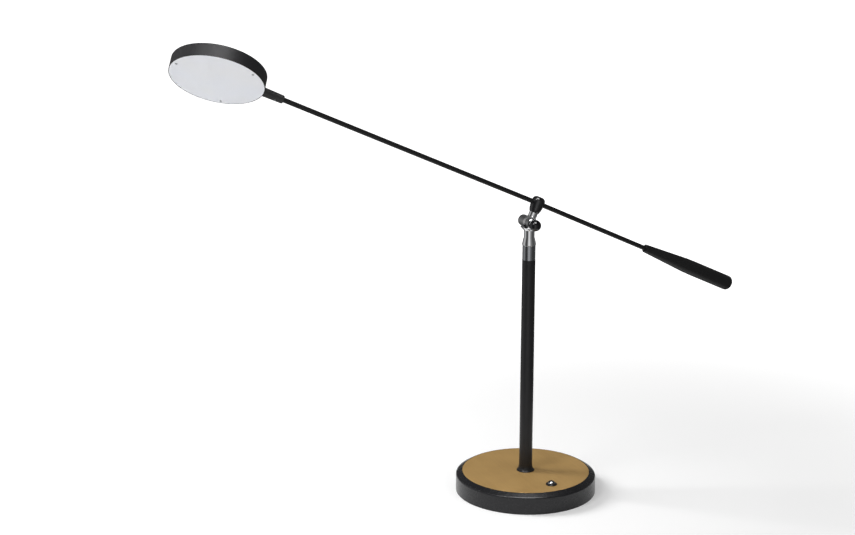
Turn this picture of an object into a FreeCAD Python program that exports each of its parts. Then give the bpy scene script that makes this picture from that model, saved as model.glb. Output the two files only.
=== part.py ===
import FreeCAD, Part
import math
import os
import re
import Sketcher

# Counterweight balance desk lamp, in millimetres.
#
# Frame: the origin lies on the table under the centre of the round base, +Z is up the post and
# +X points from the post towards the counterweight, so the light head is on the -X side. The
# ball knob of the tilt hinge faces -Y. The lamp is drawn with its arm tilted head up and its
# head rolled towards -Y.

# Driving dimensions: name, value, what it measures.
SIZES = [
    ("fit_gap", 0.05, "radial clearance of fits and threads"),
    ("part_gap", 0.2, "gap between pieces that only lie beside each other"),
    ("base_diameter", 203.2, "outside of the round base"),
    ("side_height", 24.8, "height of the straight side of the base above the table"),
    ("shoulder_height", 4.9, "plate face above the straight side"),
    ("shoulder_round", 3.0, "rounding where the side turns into the shoulder"),
    ("lip_round", 0.5, "rounding of the lip round the brass plate"),
    ("lip_width", 1.1, "flat lip round the brass plate"),
    ("lip_drop", 0.25, "lip below the plate's face"),
    ("shell_wall", 2.5, "side wall of the base shell"),
    ("shell_deck", 2.0, "deck of the base shell under the plate"),
    ("floor_gap", 0.4, "shell rim above the table"),
    ("rim_width", 9.4, "black rim between the plate and the base's outside"),
    ("plate_thickness", 1.5, "brass plate"),
    ("plate_round", 0.25, "edge rounding of the brass plate"),
    ("pad_thickness", 2.0, "foot pad"),
    ("pad_inset", 4.4, "foot pad edge inside the base's outside"),
    ("bottom_thickness", 1.5, "steel bottom plate"),
    ("weight_inset", 5.5, "edge of the cast weight inside the base's outside"),
    ("weight_thickness", 15.0, "disc of the cast weight"),
    ("hub_wall", 13.0, "hub of the weight round the nut pocket"),
    ("nut_pocket_room", 3.0, "room round the post nut in the weight"),
    ("nut_pocket_depth", 12.0, "pocket for the post nut in the weight"),
    ("screw_count", 4, "bottom screws"),
    ("screw_inset", 18.1, "bottom screws inside the edge of the weight"),
    ("screw_radius", 1.95, "bottom screw shank"),
    ("screw_head_radius", 3.7, "bottom screw head"),
    ("screw_head_height", 1.5, "bottom screw head"),
    ("screw_length", 10.0, "bottom screw shank length"),
    ("channel_width", 13.0, "lead channel under the weight"),
    ("channel_depth", 11.0, "lead channel under the weight"),
    ("cord_bore", 3.2, "bore radius of the cord grommet"),
    ("cord_lift", 6.0, "grommet axis above the bottom plate"),
    ("grommet_wall", 1.4, "wall of the grommet in the shell"),
    ("grommet_lip", 0.8, "lip of the grommet inside the shell"),
    ("grommet_flange_width", 2.0, "grommet flange outside the wall round its neck"),
    ("grommet_flange_thickness", 1.8, "grommet flange outside"),
    ("driver_length", 58.0, "driver case"),
    ("driver_width", 30.0, "driver case"),
    ("driver_height", 13.0, "driver case"),
    ("driver_wall", 1.4, "driver case wall"),
    ("driver_stand", 10.0, "front of the driver case behind the hub of the weight"),
    ("driver_room", 1.5, "gap all round the driver case in its window"),
    ("board_thickness", 1.6, "circuit board in the driver case"),
    ("coil_block", 14.0, "length of the transformer on the board"),
    ("base_turn", 8.0, "turn of the base about the post, in degrees"),
    ("switch_inset", 24.0, "switch axis inside the edge of the plate"),
    ("bezel_flange", 1.0, "bezel round its barrel"),
    ("bezel_height", 1.7, "switch bezel above the plate"),
    ("bezel_round", 0.9, "rounding of the bezel's outer edge"),
    ("barrel_wall", 1.25, "wall of the switch barrel"),
    ("barrel_length", 15.0, "barrel below the plate's face"),
    ("switch_room", 4.0, "room round the switch barrel in the weight"),
    ("button_radius", 5.7, "switch button"),
    ("button_dome", 3.6, "height of the button's dome"),
    ("button_proud", 6.0, "top of the button above the plate"),
    ("button_skirt", 4.0, "button skirt below the plate's face"),
    ("button_stem", 1.9, "radius of the button's stem"),
    ("switch_travel", 1.5, "how far the button goes down"),
    ("contact_step", 0.2, "contact block inside the outside of the barrel"),
    ("contact_height", 6.0, "contact block of the switch"),
    ("spring_wire", 0.3, "radius of the spring wire"),
    ("spring_turns", 5.0, "turns of the spring"),
    ("switch_nut_wall", 1.5, "wall of the switch nut at its flats"),
    ("switch_nut_height", 3.0, "switch nut"),
    ("post_radius", 9.53, "outside of the post"),
    ("post_wall", 1.5, "wall of the post"),
    ("post_length", 316.2, "black post above the plate"),
    ("foot_spread", 3.47, "flared foot beyond the post"),
    ("foot_height", 8.2, "flared foot of the post"),
    ("foot_edge", 0.8, "upright edge of the flared foot"),
    ("foot_lip", 0.3, "top edge of the flared foot round the post"),
    ("stud_radius", 5.0, "hollow stud that holds the post to the base"),
    ("stud_wall", 1.7, "wall of the hollow stud"),
    ("stud_rise", 20.0, "stud above the plate"),
    ("stud_tail", 1.0, "stud below the post nut"),
    ("plug_height", 18.0, "threaded plug in the foot of the post"),
    ("post_nut_wall", 3.5, "wall of the post nut at its flats"),
    ("post_nut_height", 4.0, "post nut"),
    ("washer_thickness", 1.0, "lock washers"),
    ("lock_washer_width", 3.5, "post lock washer round the stud"),
    ("ferrule_step", 0.13, "ferrule inside the outside of the post"),
    ("ferrule_height", 21.1, "chrome ferrule above the post"),
    ("ferrule_spigot", 14.0, "spigot of the ferrule inside the post"),
    ("seam_chamfer", 0.4, "chamfers beside the swivel seam"),
    ("swivel_gap", 0.15, "gap between ferrule and bell"),
    ("bush_wall", 1.4, "wall of the swivel bush"),
    ("bush_flange", 1.0, "flange of the swivel bush below the ferrule"),
    ("nipple_radius", 5.0, "hollow nipple of the swivel"),
    ("nipple_wall", 1.8, "wall of the nipple"),
    ("nipple_rise", 9.0, "nipple inside the bell"),
    ("nipple_tail", 1.0, "nipple below the swivel nut"),
    ("swivel_nut_wall", 1.5, "wall of the swivel nut at its flats"),
    ("swivel_nut_height", 4.0, "swivel nut"),
    ("stop_pin_radius", 0.9, "stop pin of the swivel"),
    ("stop_pin_rise", 1.5, "stop pin above the ferrule"),
    ("stop_pin_depth", 5.0, "stop pin inside the ferrule"),
    ("swivel_limit", 165.0, "swivel each way, in degrees"),
    ("stop_play", 1.0, "play of the turning stops, in degrees"),
    ("bell_step", 0.5, "bell beyond the ferrule"),
    ("bell_straight", 1.5, "straight foot of the bell"),
    ("bell_taper", 10.0, "height over which the bell narrows"),
    ("bell_bulge", 60.0, "radius of the bell's side"),
    ("neck_step", 2.15, "neck inside the bell's radius"),
    ("flare_drop", 5.1, "top of the neck's flare below the hinge axis"),
    ("flare_height", 5.2, "height over which the neck flares under the fork"),
    ("flare_spread", 4.8, "how far the flare stands out from the neck"),
    ("flare_edge", 0.5, "upright edge of the flare"),
    ("lead_bore", 2.4, "bore radius for the lead above the nipple"),
    ("bell_height", 31.85, "hinge axis above the foot of the bell"),
    ("drum_radius", 8.2, "rear drum of the hinge"),
    ("drum_length", 18.6, "rear drum from the fork to its end"),
    ("drum_cap_thickness", 1.9, "cap on the rear drum"),
    ("drum_cap_round", 1.5, "rounding of the drum's cap"),
    ("drum_wall", 2.5, "wall of the drum round its cap"),
    ("drum_cap_depth", 3.0, "spigot length of the drum cap"),
    ("edge_round", 0.6, "rounding of the chrome edges"),
    ("lug_step", 0.7, "front lug inside the drum's radius"),
    ("lug_length", 7.1, "front lug from the fork to its face"),
    ("eye_step", 1.1, "eye inside the drum's radius"),
    ("eye_half", 3.0, "half the thickness of the eye"),
    ("friction_washer", 0.6, "friction washers beside the eye"),
    ("face_gap", 0.05, "gap beside each friction washer"),
    ("washer_step", 0.6, "friction washers inside the eye's radius"),
    ("eye_clearance", 0.45, "gap between the eye and the floor of the fork"),
    ("eye_wall", 2.0, "wall of the eye round the lead's chamber"),
    ("eye_cheek", 1.4, "cheek of the eye beside the lead's chamber"),
    ("wire_window", 65.0, "half the angle of the window under the eye, in degrees"),
    ("knob_screw_radius", 2.5, "screw of the ball knob"),
    ("knob_screw_grip", 8.3, "screw inside the rear drum"),
    ("knob_radius", 8.2, "ball knob"),
    ("knob_stand", 8.0, "centre of the ball before its washer"),
    ("knob_collar_wall", 1.9, "collar of the ball knob round its screw"),
    ("knob_washer_width", 2.2, "washer behind the ball knob round its screw"),
    ("knob_grip", 2.5, "end of the screw behind the ball's centre"),
    ("arm_tilt", 24.2, "head end of the arm above level, in degrees"),
    ("weight_droop", 0.65, "sag of the counterweight side below the head side, in degrees"),
    ("arm_lift", 13.95, "arm axis above the foot of the knuckle"),
    ("stem_radius", 6.3, "chrome stem"),
    ("stem_gap", 0.9, "round part of the stem outside the drum"),
    ("stem_length", 7.0, "round part of the stem"),
    ("stem_step", 2.1, "spigot inside the stem's radius"),
    ("stem_spigot_length", 5.8, "spigot of the stem in the knuckle"),
    ("stem_bore", 2.0, "bore radius for the lead in the stem"),
    ("knuckle_step", 3.1, "knuckle beyond the stem's radius"),
    ("knuckle_foot_step", 0.5, "narrow foot of the knuckle beyond the stem's radius"),
    ("knuckle_taper", 10.1, "height over which the knuckle widens"),
    ("knuckle_bulge", 26.0, "radius of the knuckle's lower side"),
    ("knuckle_crown", 9.3, "top of the knuckle above the arm axis"),
    ("knuckle_dome", 6.0, "rounding of the knuckle's top"),
    ("set_screw_radius", 2.0, "set screw in the knuckle"),
    ("set_screw_length", 5.0, "set screw in the knuckle"),
    ("rod_radius", 3.4, "arm rod"),
    ("rod_wall", 0.9, "wall of the arm rod"),
    ("rod_bend", 600.0, "radius of the rod's slight bend in the knuckle"),
    ("rod_stop", 13.3, "end of the rod outside the head"),
    ("weight_grip", 21.0, "rod inside the collar and counterweight"),
    ("rod_side_hole", 2.2, "hole for the lead in the knuckle"),
    ("collar_start", 191.0, "lock collar of the counterweight, from the knuckle"),
    ("collar_length", 5.5, "lock collar of the counterweight"),
    ("collar_step", 0.4, "narrow end of the collar inside its wide end"),
    ("collar_seam", 0.3, "line between collar and counterweight"),
    ("nose_wall", 3.0, "narrow end of the counterweight round the rod"),
    ("taper_length", 68.0, "taper of the counterweight"),
    ("taper_spread", 4.2, "how far the taper widens the counterweight"),
    ("swell_length", 14.0, "soft run from the taper to the full radius"),
    ("swell", 0.3, "last widening of the counterweight"),
    ("counter_length", 154.2, "counterweight beyond its collar"),
    ("counter_round", 7.0, "rounding of the far end"),
    ("counter_stud_gap", 0.1, "stud inside the rod's bore"),
    ("counter_stud_length", 35.0, "stud between rod and counterweight"),
    ("counter_stud_grip", 7.0, "stud inside the rod"),
    ("head_reach", 501.4, "head centre from the knuckle"),
    ("head_roll", 29.5, "head turned towards the front, in degrees"),
    ("head_radius", 63.1, "round head"),
    ("head_above", 8.4, "back of the head above the arm axis"),
    ("head_below", 10.1, "rim of the head below the arm axis"),
    ("head_round", 1.6, "rounding of the head's back edge"),
    ("head_back", 1.6, "back wall of the head"),
    ("head_wall", 1.3, "side wall of the head"),
    ("rim_wall", 0.7, "rim round the diffuser"),
    ("rim_recess", 0.15, "diffuser face inside the rim"),
    ("diffuser_thickness", 2.0, "diffuser"),
    ("diffuser_gap", 0.05, "gap round the diffuser"),
    ("reflector_foot", 1.2, "reflector ring beside the diffuser"),
    ("reflector_top", 7.8, "reflector ring beside the circuit board"),
    ("boss_radius", 2.6, "bosses for the diffuser screws"),
    ("diffuser_screw_count", 3, "diffuser screws"),
    ("diffuser_screw_inset", 5.2, "diffuser screws inside the rim"),
    ("diffuser_screw_radius", 1.0, "diffuser screw shank"),
    ("diffuser_screw_head", 1.7, "diffuser screw head radius"),
    ("diffuser_head_height", 0.5, "diffuser screw head proud of the diffuser"),
    ("diffuser_screw_length", 7.0, "diffuser screw shank length"),
    ("led_board_thickness", 1.6, "circuit board of the head"),
    ("led_width", 2.8, "light chips"),
    ("led_height", 0.7, "light chips"),
    ("led_rings", 3, "rings of light chips"),
    ("led_margin", 9.0, "light chips inside the reflector"),
    ("leds_per_ring", 6, "light chips in the first ring, and added in each further one"),
    ("sleeve_wall", 2.85, "wall of the sleeve round the rod"),
    ("sleeve_length", 31.9, "sleeve outside the head"),
    ("sleeve_taper", 0.6, "arm end of the sleeve inside its radius at the head"),
    ("sleeve_round", 1.6, "rounding of the sleeve's arm end"),
    ("sleeve_spigot_step", 0.2, "spigot beyond the rod's radius"),
    ("sleeve_spigot_length", 9.8, "spigot inside the head's wall"),
    ("sleeve_nut_wall", 1.4, "wall of the sleeve nut at its flats"),
    ("sleeve_nut_height", 3.0, "sleeve nut"),
    ("notch_room", 2.0, "room beside the sleeve nut"),
    ("dog_offset", 7.0, "sleeve set screw from the rod's end"),
    ("dog_screw_radius", 1.5, "sleeve set screw"),
    ("dog_radius", 1.0, "dog point of the sleeve set screw"),
    ("groove_depth", 0.45, "stop groove in the rod"),
    ("roll_down", 90.0, "head roll each way from straight down, in degrees"),
    ("post_lead_radius", 1.5, "lead up the post"),
    ("arm_lead_radius", 1.2, "lead through the arm"),
    ("lead_bend", 5.0, "bend radius of the leads"),
]

# Sizes that follow from the driving ones.
DERIVED = [
    ("base_radius", "=base_diameter / 2"),
    ("plate_top", "=side_height + shoulder_height"),
    ("plate_radius", "=base_radius - rim_width"),
    ("switch_circle", "=plate_radius - switch_inset"),
    ("shell_inside", "=base_radius - shell_wall"),
    ("lip_height", "=plate_top - lip_drop"),
    ("lip_radius", "=plate_radius + part_gap"),
    ("plate_bottom", "=plate_top - plate_thickness"),
    ("deck_bottom", "=plate_bottom - shell_deck"),
    ("bottom_top", "=pad_thickness + bottom_thickness"),
    ("cord_height", "=bottom_top + cord_lift"),
    ("grommet_neck", "=cord_bore + grommet_wall"),
    ("grommet_flange", "=grommet_neck + grommet_flange_width"),
    ("weight_radius", "=base_radius - weight_inset"),
    ("screw_circle", "=weight_radius - screw_inset"),
    ("weight_top", "=bottom_top + weight_thickness"),
    ("nut_seat", "=bottom_top + nut_pocket_depth"),
    ("post_nut_top", "=nut_seat - washer_thickness"),
    ("post_nut_bottom", "=post_nut_top - post_nut_height"),
    ("barrel_bottom", "=plate_top - barrel_length"),
    ("barrel_bore", "=button_radius + fit_gap"),
    ("barrel_radius", "=barrel_bore + barrel_wall"),
    ("switch_nut_flat", "=2 * (barrel_radius + switch_nut_wall)"),
    ("spring_radius", "=(button_stem + button_radius) / 2"),
    ("contact_radius", "=barrel_radius - contact_step"),
    ("switch_hole_radius", "=barrel_radius + switch_room"),
    ("bezel_radius", "=barrel_radius + bezel_flange"),
    ("post_bore", "=post_radius - post_wall"),
    ("stud_bore", "=stud_radius - stud_wall"),
    ("nut_pocket_radius", "=(post_nut_flat / sqrt(3)) + nut_pocket_room"),
    ("hub_radius", "=nut_pocket_radius + hub_wall"),
    ("driver_back", "=hub_radius + driver_stand"),
    ("lock_washer_radius", "=stud_radius + lock_washer_width"),
    ("post_nut_flat", "=2 * (stud_radius + post_nut_wall)"),
    ("foot_radius", "=post_radius + foot_spread"),
    ("post_top", "=plate_top + post_length"),
    ("ferrule_top", "=post_top + ferrule_height"),
    ("ferrule_radius", "=post_radius - ferrule_step"),
    ("bell_radius", "=ferrule_radius + bell_step"),
    ("neck_radius", "=bell_radius - neck_step"),
    ("spigot_bottom", "=post_top - ferrule_spigot"),
    ("bell_bottom", "=ferrule_top + swivel_gap"),
    ("pivot_height", "=bell_bottom + bell_height"),
    ("stem_start", "=drum_radius + stem_gap"),
    ("stem_end", "=stem_start + stem_length"),
    ("stem_spigot", "=stem_radius - stem_step"),
    ("knuckle_foot", "=stem_radius + knuckle_foot_step"),
    ("knuckle_radius", "=stem_radius + knuckle_step"),
    ("arm_rise", "=stem_end + arm_lift"),
    ("knuckle_top", "=arm_rise + knuckle_crown"),
    ("eye_radius", "=drum_radius - eye_step"),
    ("wire_chamber", "=eye_radius - eye_wall"),
    ("washer_radius", "=eye_radius - washer_step"),
    ("lug_radius", "=drum_radius - lug_step"),
    ("drum_cap_spigot", "=drum_radius - drum_wall"),
    ("ferrule_bore", "=nipple_radius + fit_gap + bush_wall"),
    ("swivel_nut_flat", "=2 * (nipple_radius + swivel_nut_wall)"),
    ("stop_pin_circle", "=(ferrule_bore + ferrule_radius) / 2"),
    ("nipple_bore", "=nipple_radius - nipple_wall"),
    ("swivel_washer_bottom", "=spigot_bottom - bush_flange - swivel_gap - washer_thickness"),
    ("swivel_nut_bottom", "=swivel_washer_bottom - swivel_nut_height"),
    ("flare_top", "=pivot_height - flare_drop"),
    ("flare_foot", "=flare_top - flare_height"),
    ("flare_radius", "=neck_radius + flare_spread"),
    ("fork_half", "=eye_half + friction_washer + 2 * face_gap"),
    ("knob_screw_depth", "=fork_half + knob_screw_grip"),
    ("wire_half", "=eye_half - eye_cheek"),
    ("drum_back", "=fork_half + drum_length"),
    ("lug_front", "=fork_half + lug_length"),
    ("screw_clear", "=knob_screw_radius + fit_gap"),
    ("knob_washer_front", "=lug_front + face_gap + washer_thickness"),
    ("knob_back", "=knob_washer_front + face_gap"),
    ("knob_washer_radius", "=knob_screw_radius + knob_washer_width"),
    ("knob_collar", "=knob_screw_radius + knob_collar_wall"),
    ("knob_front", "=knob_back + knob_stand"),
    ("rod_bore", "=rod_radius - rod_wall"),
    ("counter_stud", "=rod_bore - counter_stud_gap"),
    ("rod_seat", "=rod_radius + fit_gap"),
    ("rod_weight_end", "=collar_start + weight_grip"),
    ("nose_radius", "=rod_radius + nose_wall"),
    ("collar_radius", "=nose_radius - collar_step"),
    ("taper_radius", "=nose_radius + taper_spread"),
    ("counter_radius", "=taper_radius + swell"),
    ("nose_start", "=collar_start + collar_length + collar_seam"),
    ("counter_end", "=nose_start + counter_length"),
    ("diffuser_face", "=head_below - rim_recess"),
    ("ledge_drop", "=diffuser_face - diffuser_thickness"),
    ("head_ceiling", "=head_above - head_back"),
    ("led_board_bottom", "=head_ceiling - led_board_thickness"),
    ("head_inside", "=head_radius - head_wall"),
    ("rim_inside", "=head_radius - rim_wall"),
    ("led_ring_step", "=(head_inside - reflector_top - led_margin) / led_rings"),
    ("diffuser_screw_circle", "=rim_inside - diffuser_screw_inset"),
    ("rod_end_reach", "=head_radius + rod_stop"),
    ("rod_head_end", "=head_reach - rod_end_reach"),
    ("notch_half", "=sleeve_nut_flat / sqrt(3) + notch_room"),
    ("sleeve_nut_flat", "=2 * (sleeve_spigot + sleeve_nut_wall)"),
    ("sleeve_spigot_end", "=head_inside - sleeve_spigot_length"),
    ("sleeve_spigot", "=rod_radius + sleeve_spigot_step"),
    ("sleeve_end", "=head_radius + sleeve_length"),
    ("sleeve_radius", "=rod_radius + sleeve_wall"),
    ("dog_reach", "=rod_end_reach + dog_offset"),
]

SHEET = "Dimensions"
NAMES = {row[0] for row in SIZES} | {row[0] for row in DERIVED}
X_AXIS = FreeCAD.Vector(1, 0, 0)
Y_AXIS = FreeCAD.Vector(0, 1, 0)
Z_AXIS = FreeCAD.Vector(0, 0, 1)
QUARTER_TURN = 90
HALF_TURN = 180
FULL_TURN = 360
HEX_SIDES = 6
SAME = 1e-4

doc = FreeCAD.newDocument("BalanceLamp")
sheet = doc.addObject("Spreadsheet::Sheet", SHEET)
for row, (alias, value, meaning) in enumerate(SIZES, start=1):
    sheet.set(f"A{row}", str(value))
    sheet.set(f"B{row}", meaning)
    sheet.setAlias(f"A{row}", alias)
for row, (alias, formula) in enumerate(DERIVED, start=len(SIZES) + 1):
    sheet.setAlias(f"A{row}", alias)
    sheet.set(f"A{row}", formula)
doc.recompute()

pieces = []


# ---------------------------------------------------------------- working with the sheet


def full(expression):
    """The expression with every size written as a cell of the sheet."""

    def cell(word):
        return f"{SHEET}.{word[0]}" if word[0] in NAMES else word[0]

    return re.sub(r"[a-z_]+", cell, expression)


def size(expression):
    """The present value of an expression on the sheet's sizes."""
    return float(sheet.evalExpression(full(str(expression))))


def bind(item, **expressions):
    """Tie properties of an object to expressions on the sheet."""
    for name, expression in expressions.items():
        item.setExpression(name, full(str(expression)))


def at(x=0, y=0, z=0, axis=Z_AXIS, angle=0):
    """A placement at three size expressions, turned about an axis by an angle in degrees."""
    spot = FreeCAD.Vector(size(x), size(y), size(z))
    return FreeCAD.Placement(spot, FreeCAD.Rotation(axis, size(angle)))


# ---------------------------------------------------------------- making solids


def outline(body, plane, corners):
    """A closed sketch through corners given as size expressions.

    A corner is (across, up), or (across, up, radius, side) where an arc leads to the next corner;
    the arc's centre lies left of the path for side +1 and right of it for side -1.
    """
    sketch = body.newObject("Sketcher::SketchObject", body.Name + "_sketch")
    support = next(part for part in body.Origin.OriginFeatures if part.Role == plane)
    sketch.AttachmentSupport = [(support, "")]
    sketch.MapMode = "FlatFace"
    points = [FreeCAD.Vector(size(corner[0]), size(corner[1]), 0) for corner in corners]
    ends = []
    for index, corner in enumerate(corners):
        start, end = points[index], points[(index + 1) % len(points)]
        if len(corner) == 2:
            sketch.addGeometry(Part.LineSegment(start, end))
            ends.append((1, 2))
            continue
        radius, side = size(corner[2]), corner[3]
        chord = end - start
        left = FreeCAD.Vector(-chord.y, chord.x, 0).normalize()
        rise = math.sqrt(radius ** 2 - (chord.Length / 2) ** 2)
        centre = (start + end) / 2 + left * side * rise
        first, last = (start, end) if side > 0 else (end, start)
        angles = [math.atan2(spot.y - centre.y, spot.x - centre.x) for spot in (first, last)]
        circle = Part.Circle(centre, Z_AXIS, radius)
        sketch.addGeometry(Part.ArcOfCircle(circle, *angles))
        ends.append((1, 2) if side > 0 else (2, 1))
    for index, corner in enumerate(corners):
        start, end = ends[index]
        following = (index + 1) % len(corners)
        closing = Sketcher.Constraint("Coincident", index, end, following, ends[following][0])
        sketch.addConstraint(closing)
        for kind, value, expression in zip(("DistanceX", "DistanceY"), points[index], corner):
            place = sketch.addConstraint(Sketcher.Constraint(kind, -1, 1, index, start, value))
            sketch.setExpression(f"Constraints[{place}]", full(str(expression)))
        if len(corner) > 2:
            place = sketch.addConstraint(Sketcher.Constraint("Radius", index, size(corner[2])))
            sketch.setExpression(f"Constraints[{place}]", full(str(corner[2])))
    return sketch


def turned(label, corners):
    """A body turned about its own Z axis from (radius, height) corners."""
    body = doc.addObject("PartDesign::Body", label)
    sketch = outline(body, "XZ_Plane", corners)
    turning = body.newObject("PartDesign::Revolution", label + "_turning")
    turning.Profile = sketch
    turning.ReferenceAxis = (sketch, ["V_Axis"])
    turning.Angle = FULL_TURN
    sketch.Visibility = False
    doc.recompute()
    return body


def ring(label, inner, outer, bottom, top):
    """A plain turned ring between two radii and two heights."""
    return turned(label, [(inner, bottom), (outer, bottom), (outer, top), (inner, top)])


def rounded(body, rounding, radius, height):
    """Round the circular edges of a body that have this radius and height."""
    wanted = (size(radius), size(height))
    before = body.Tip
    names = []
    for index, edge in enumerate(before.Shape.Edges, start=1):
        curve = edge.Curve
        if isinstance(curve, Part.Circle) and math.dist((curve.Radius, curve.Center.z), wanted) < SAME:
            names.append(f"Edge{index}")
    fillet = body.newObject("PartDesign::Fillet", body.Name + "_round")
    fillet.Base = (before, names)
    bind(fillet, Radius=rounding)
    doc.recompute()
    return body


def cylinder(name, radius, length, place=None, angle=FULL_TURN):
    """A cylinder along its own Z axis."""
    item = doc.addObject("Part::Cylinder", name)
    bind(item, Radius=radius, Height=length)
    item.Angle = size(angle)
    item.Placement = place or at()
    return item


def box(name, low, high):
    """A box between two corners given as size expressions."""
    item = doc.addObject("Part::Box", name)
    lengths = [f"({top}) - ({bottom})" for bottom, top in zip(low, high)]
    bind(item, Length=lengths[0], Width=lengths[1], Height=lengths[2])
    item.Placement = at(*low)
    return item


def hexagon(name, flat, height, place=None):
    """A six-sided prism from its width across flats."""
    item = doc.addObject("Part::Prism", name)
    item.Polygon = HEX_SIDES
    bind(item, Circumradius=f"({flat}) / sqrt(3)", Height=height)
    item.Placement = place or at()
    return item


def joined(label, *items):
    """One solid from several that overlap."""
    union = doc.addObject("Part::MultiFuse", label)
    union.Shapes = list(items)
    union.Refine = True
    doc.recompute()
    return union


def cut(label, blank, *tools):
    """The blank with the tools taken away."""
    item = doc.addObject("Part::Cut", label)
    item.Base = blank
    item.Tool = tools[0] if len(tools) == 1 else joined(label + "_tools", *tools)
    item.Refine = True
    doc.recompute()
    return item


def copies(label, item, places):
    """Several copies of a solid as one piece."""
    shapes = []
    for place in places:
        shape = item.Shape.copy()
        shape.Placement = place
        shapes.append(shape)
    group = doc.addObject("Part::Feature", label)
    group.Shape = Part.makeCompound(shapes)
    return group


def around(count, radius, first=0):
    """Placements on a circle about Z."""
    start = size(first)
    step = FULL_TURN / size(count)
    turns = [at(angle=start + index * step) for index in range(round(size(count)))]
    return [turn.multiply(at(x=radius)) for turn in turns]


def bar(label, radius, route, bend):
    """A round bar or lead along straight runs joined by tangent arcs."""
    spots = [FreeCAD.Vector(*[size(number) for number in spot]) for spot in route]
    edges = []
    start = spots[0]
    for before, corner, after in zip(spots, spots[1:], spots[2:]):
        inward = (before - corner).normalize()
        outward = (after - corner).normalize()
        half = inward.getAngle(outward) / 2
        reach = size(bend) / math.tan(half)
        centre = corner + (inward + outward).normalize() * size(bend) / math.sin(half)
        middle = centre + (corner - centre).normalize() * size(bend)
        edges.append(Part.LineSegment(start, corner + inward * reach).toShape())
        edges.append(Part.Arc(corner + inward * reach, middle, corner + outward * reach).toShape())
        start = corner + outward * reach
    edges.append(Part.LineSegment(start, spots[-1]).toShape())
    path = Part.Wire(edges)
    section = Part.Wire(Part.Circle(spots[0], spots[1] - spots[0], size(radius)).toShape())
    item = doc.addObject("Part::Feature", label)
    item.Shape = path.makePipeShell([section], True, False)
    return item


def keep(item, node, place=None):
    """Name a finished piece after its node and put it in its place in the lamp."""
    item.Label = node
    if place:
        item.Placement = place
    pieces.append(item)
    return item


# ---------------------------------------------------------------- the frames of the lamp

BASE = at(angle="base_turn")
SWITCH = BASE.multiply(at(y="-switch_circle"))
HINGE = at(z="pivot_height")
TO_BACK = HINGE.multiply(at(axis=X_AXIS, angle=-QUARTER_TURN))
TO_FRONT = HINGE.multiply(at(axis=X_AXIS, angle=QUARTER_TURN))
STEM = HINGE.multiply(at(axis=Y_AXIS, angle="arm_tilt"))
ARM = STEM.multiply(at(z="arm_rise"))
TO_WEIGHT = ARM.multiply(at(axis=Y_AXIS, angle=f"{QUARTER_TURN} + weight_droop"))
TO_HEAD = ARM.multiply(at(axis=Y_AXIS, angle=-QUARTER_TURN))
HEAD = ARM.multiply(at(x="-head_reach", axis=X_AXIS, angle="-head_roll"))
SLEEVE = HEAD.multiply(at(axis=Y_AXIS, angle=QUARTER_TURN))


# ---------------------------------------------------------------- base


def screw_places():
    """Where the bottom screws sit, between the lead channel and the switch."""
    return around("screw_count", "screw_circle", f"{HALF_TURN} / screw_count")


def base_shell():
    """Turned black cup, open below, with a recess for the brass plate and a hole for the cord."""
    blank = turned("shell_blank", [
        ("base_radius", "floor_gap"),
        ("base_radius", "side_height"),
        ("lip_radius + lip_width", "lip_height"),
        ("lip_radius", "lip_height"),
        ("lip_radius", "plate_bottom"),
        ("stud_radius + part_gap", "plate_bottom"),
        ("stud_radius + part_gap", "deck_bottom"),
        ("lip_radius - shell_deck", "deck_bottom"),
        ("shell_inside", "side_height - shell_wall"),
        ("shell_inside", "floor_gap"),
    ])
    rounded(blank, "shoulder_round", "base_radius", "side_height")
    rounded(blank, "lip_round", "lip_radius + lip_width", "lip_height")
    cord_hole = cylinder("shell_cord_hole", "grommet_neck + fit_gap", "base_radius",
                         at(z="cord_height", axis=X_AXIS, angle=-QUARTER_TURN))
    switch_hole = cylinder("shell_switch_hole", "barrel_radius + part_gap", "plate_top",
                           at(y="-switch_circle"))
    keep(cut("shell", blank, cord_hole, switch_hole), "base_shell", BASE)


def top_plate():
    """Brass disc with a hole for the post stud and one for the switch."""
    blank = ring("plate_blank", "stud_radius + part_gap", "plate_radius", "plate_bottom", "plate_top")
    rounded(blank, "plate_round", "plate_radius", "plate_top")
    hole = cylinder("plate_hole", "barrel_radius + fit_gap", "plate_top", at(y="-switch_circle"))
    keep(cut("plate", blank, hole), "top_plate", BASE)


def base_weight():
    """Cast iron disc with a hub under the deck, a driver window and a channel for the leads."""
    blank = turned("weight_blank", [
        ("nut_pocket_radius", "bottom_top"),
        ("weight_radius", "bottom_top"),
        ("weight_radius", "weight_top"),
        ("hub_radius", "weight_top"),
        ("hub_radius", "deck_bottom"),
        ("stud_radius + part_gap", "deck_bottom"),
        ("stud_radius + part_gap", "nut_seat"),
        ("nut_pocket_radius", "nut_seat"),
    ])
    side = "driver_length / 2 + driver_room"
    window = box("weight_window", (f"-({side})", "driver_back - driver_room", "0"),
                 (side, "driver_back + driver_width + driver_room", "plate_top"))
    channel = box("weight_channel", ("-channel_width / 2", "0", "0"),
                  ("channel_width / 2", "base_radius", "bottom_top + channel_depth"))
    switch_room = cylinder("weight_switch_room", "switch_hole_radius", "plate_top",
                           at(y="-switch_circle"))
    holes = [
        cylinder(f"weight_screw_hole_{index}", "screw_radius + fit_gap", "weight_thickness", place)
        for index, place in enumerate(screw_places())
    ]
    keep(cut("weight", blank, window, channel, switch_room, *holes), "base_weight", BASE)


def bottom_plate():
    """Steel disc that closes the base, with clearance holes for its screws."""
    blank = ring("bottom_blank", "nut_pocket_radius", "shell_inside - part_gap", "pad_thickness",
                 "bottom_top")
    holes = [
        cylinder(f"bottom_hole_{index}", "screw_radius + part_gap", "plate_top", place)
        for index, place in enumerate(screw_places())
    ]
    keep(cut("bottom", blank, *holes), "bottom_plate", BASE)


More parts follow.
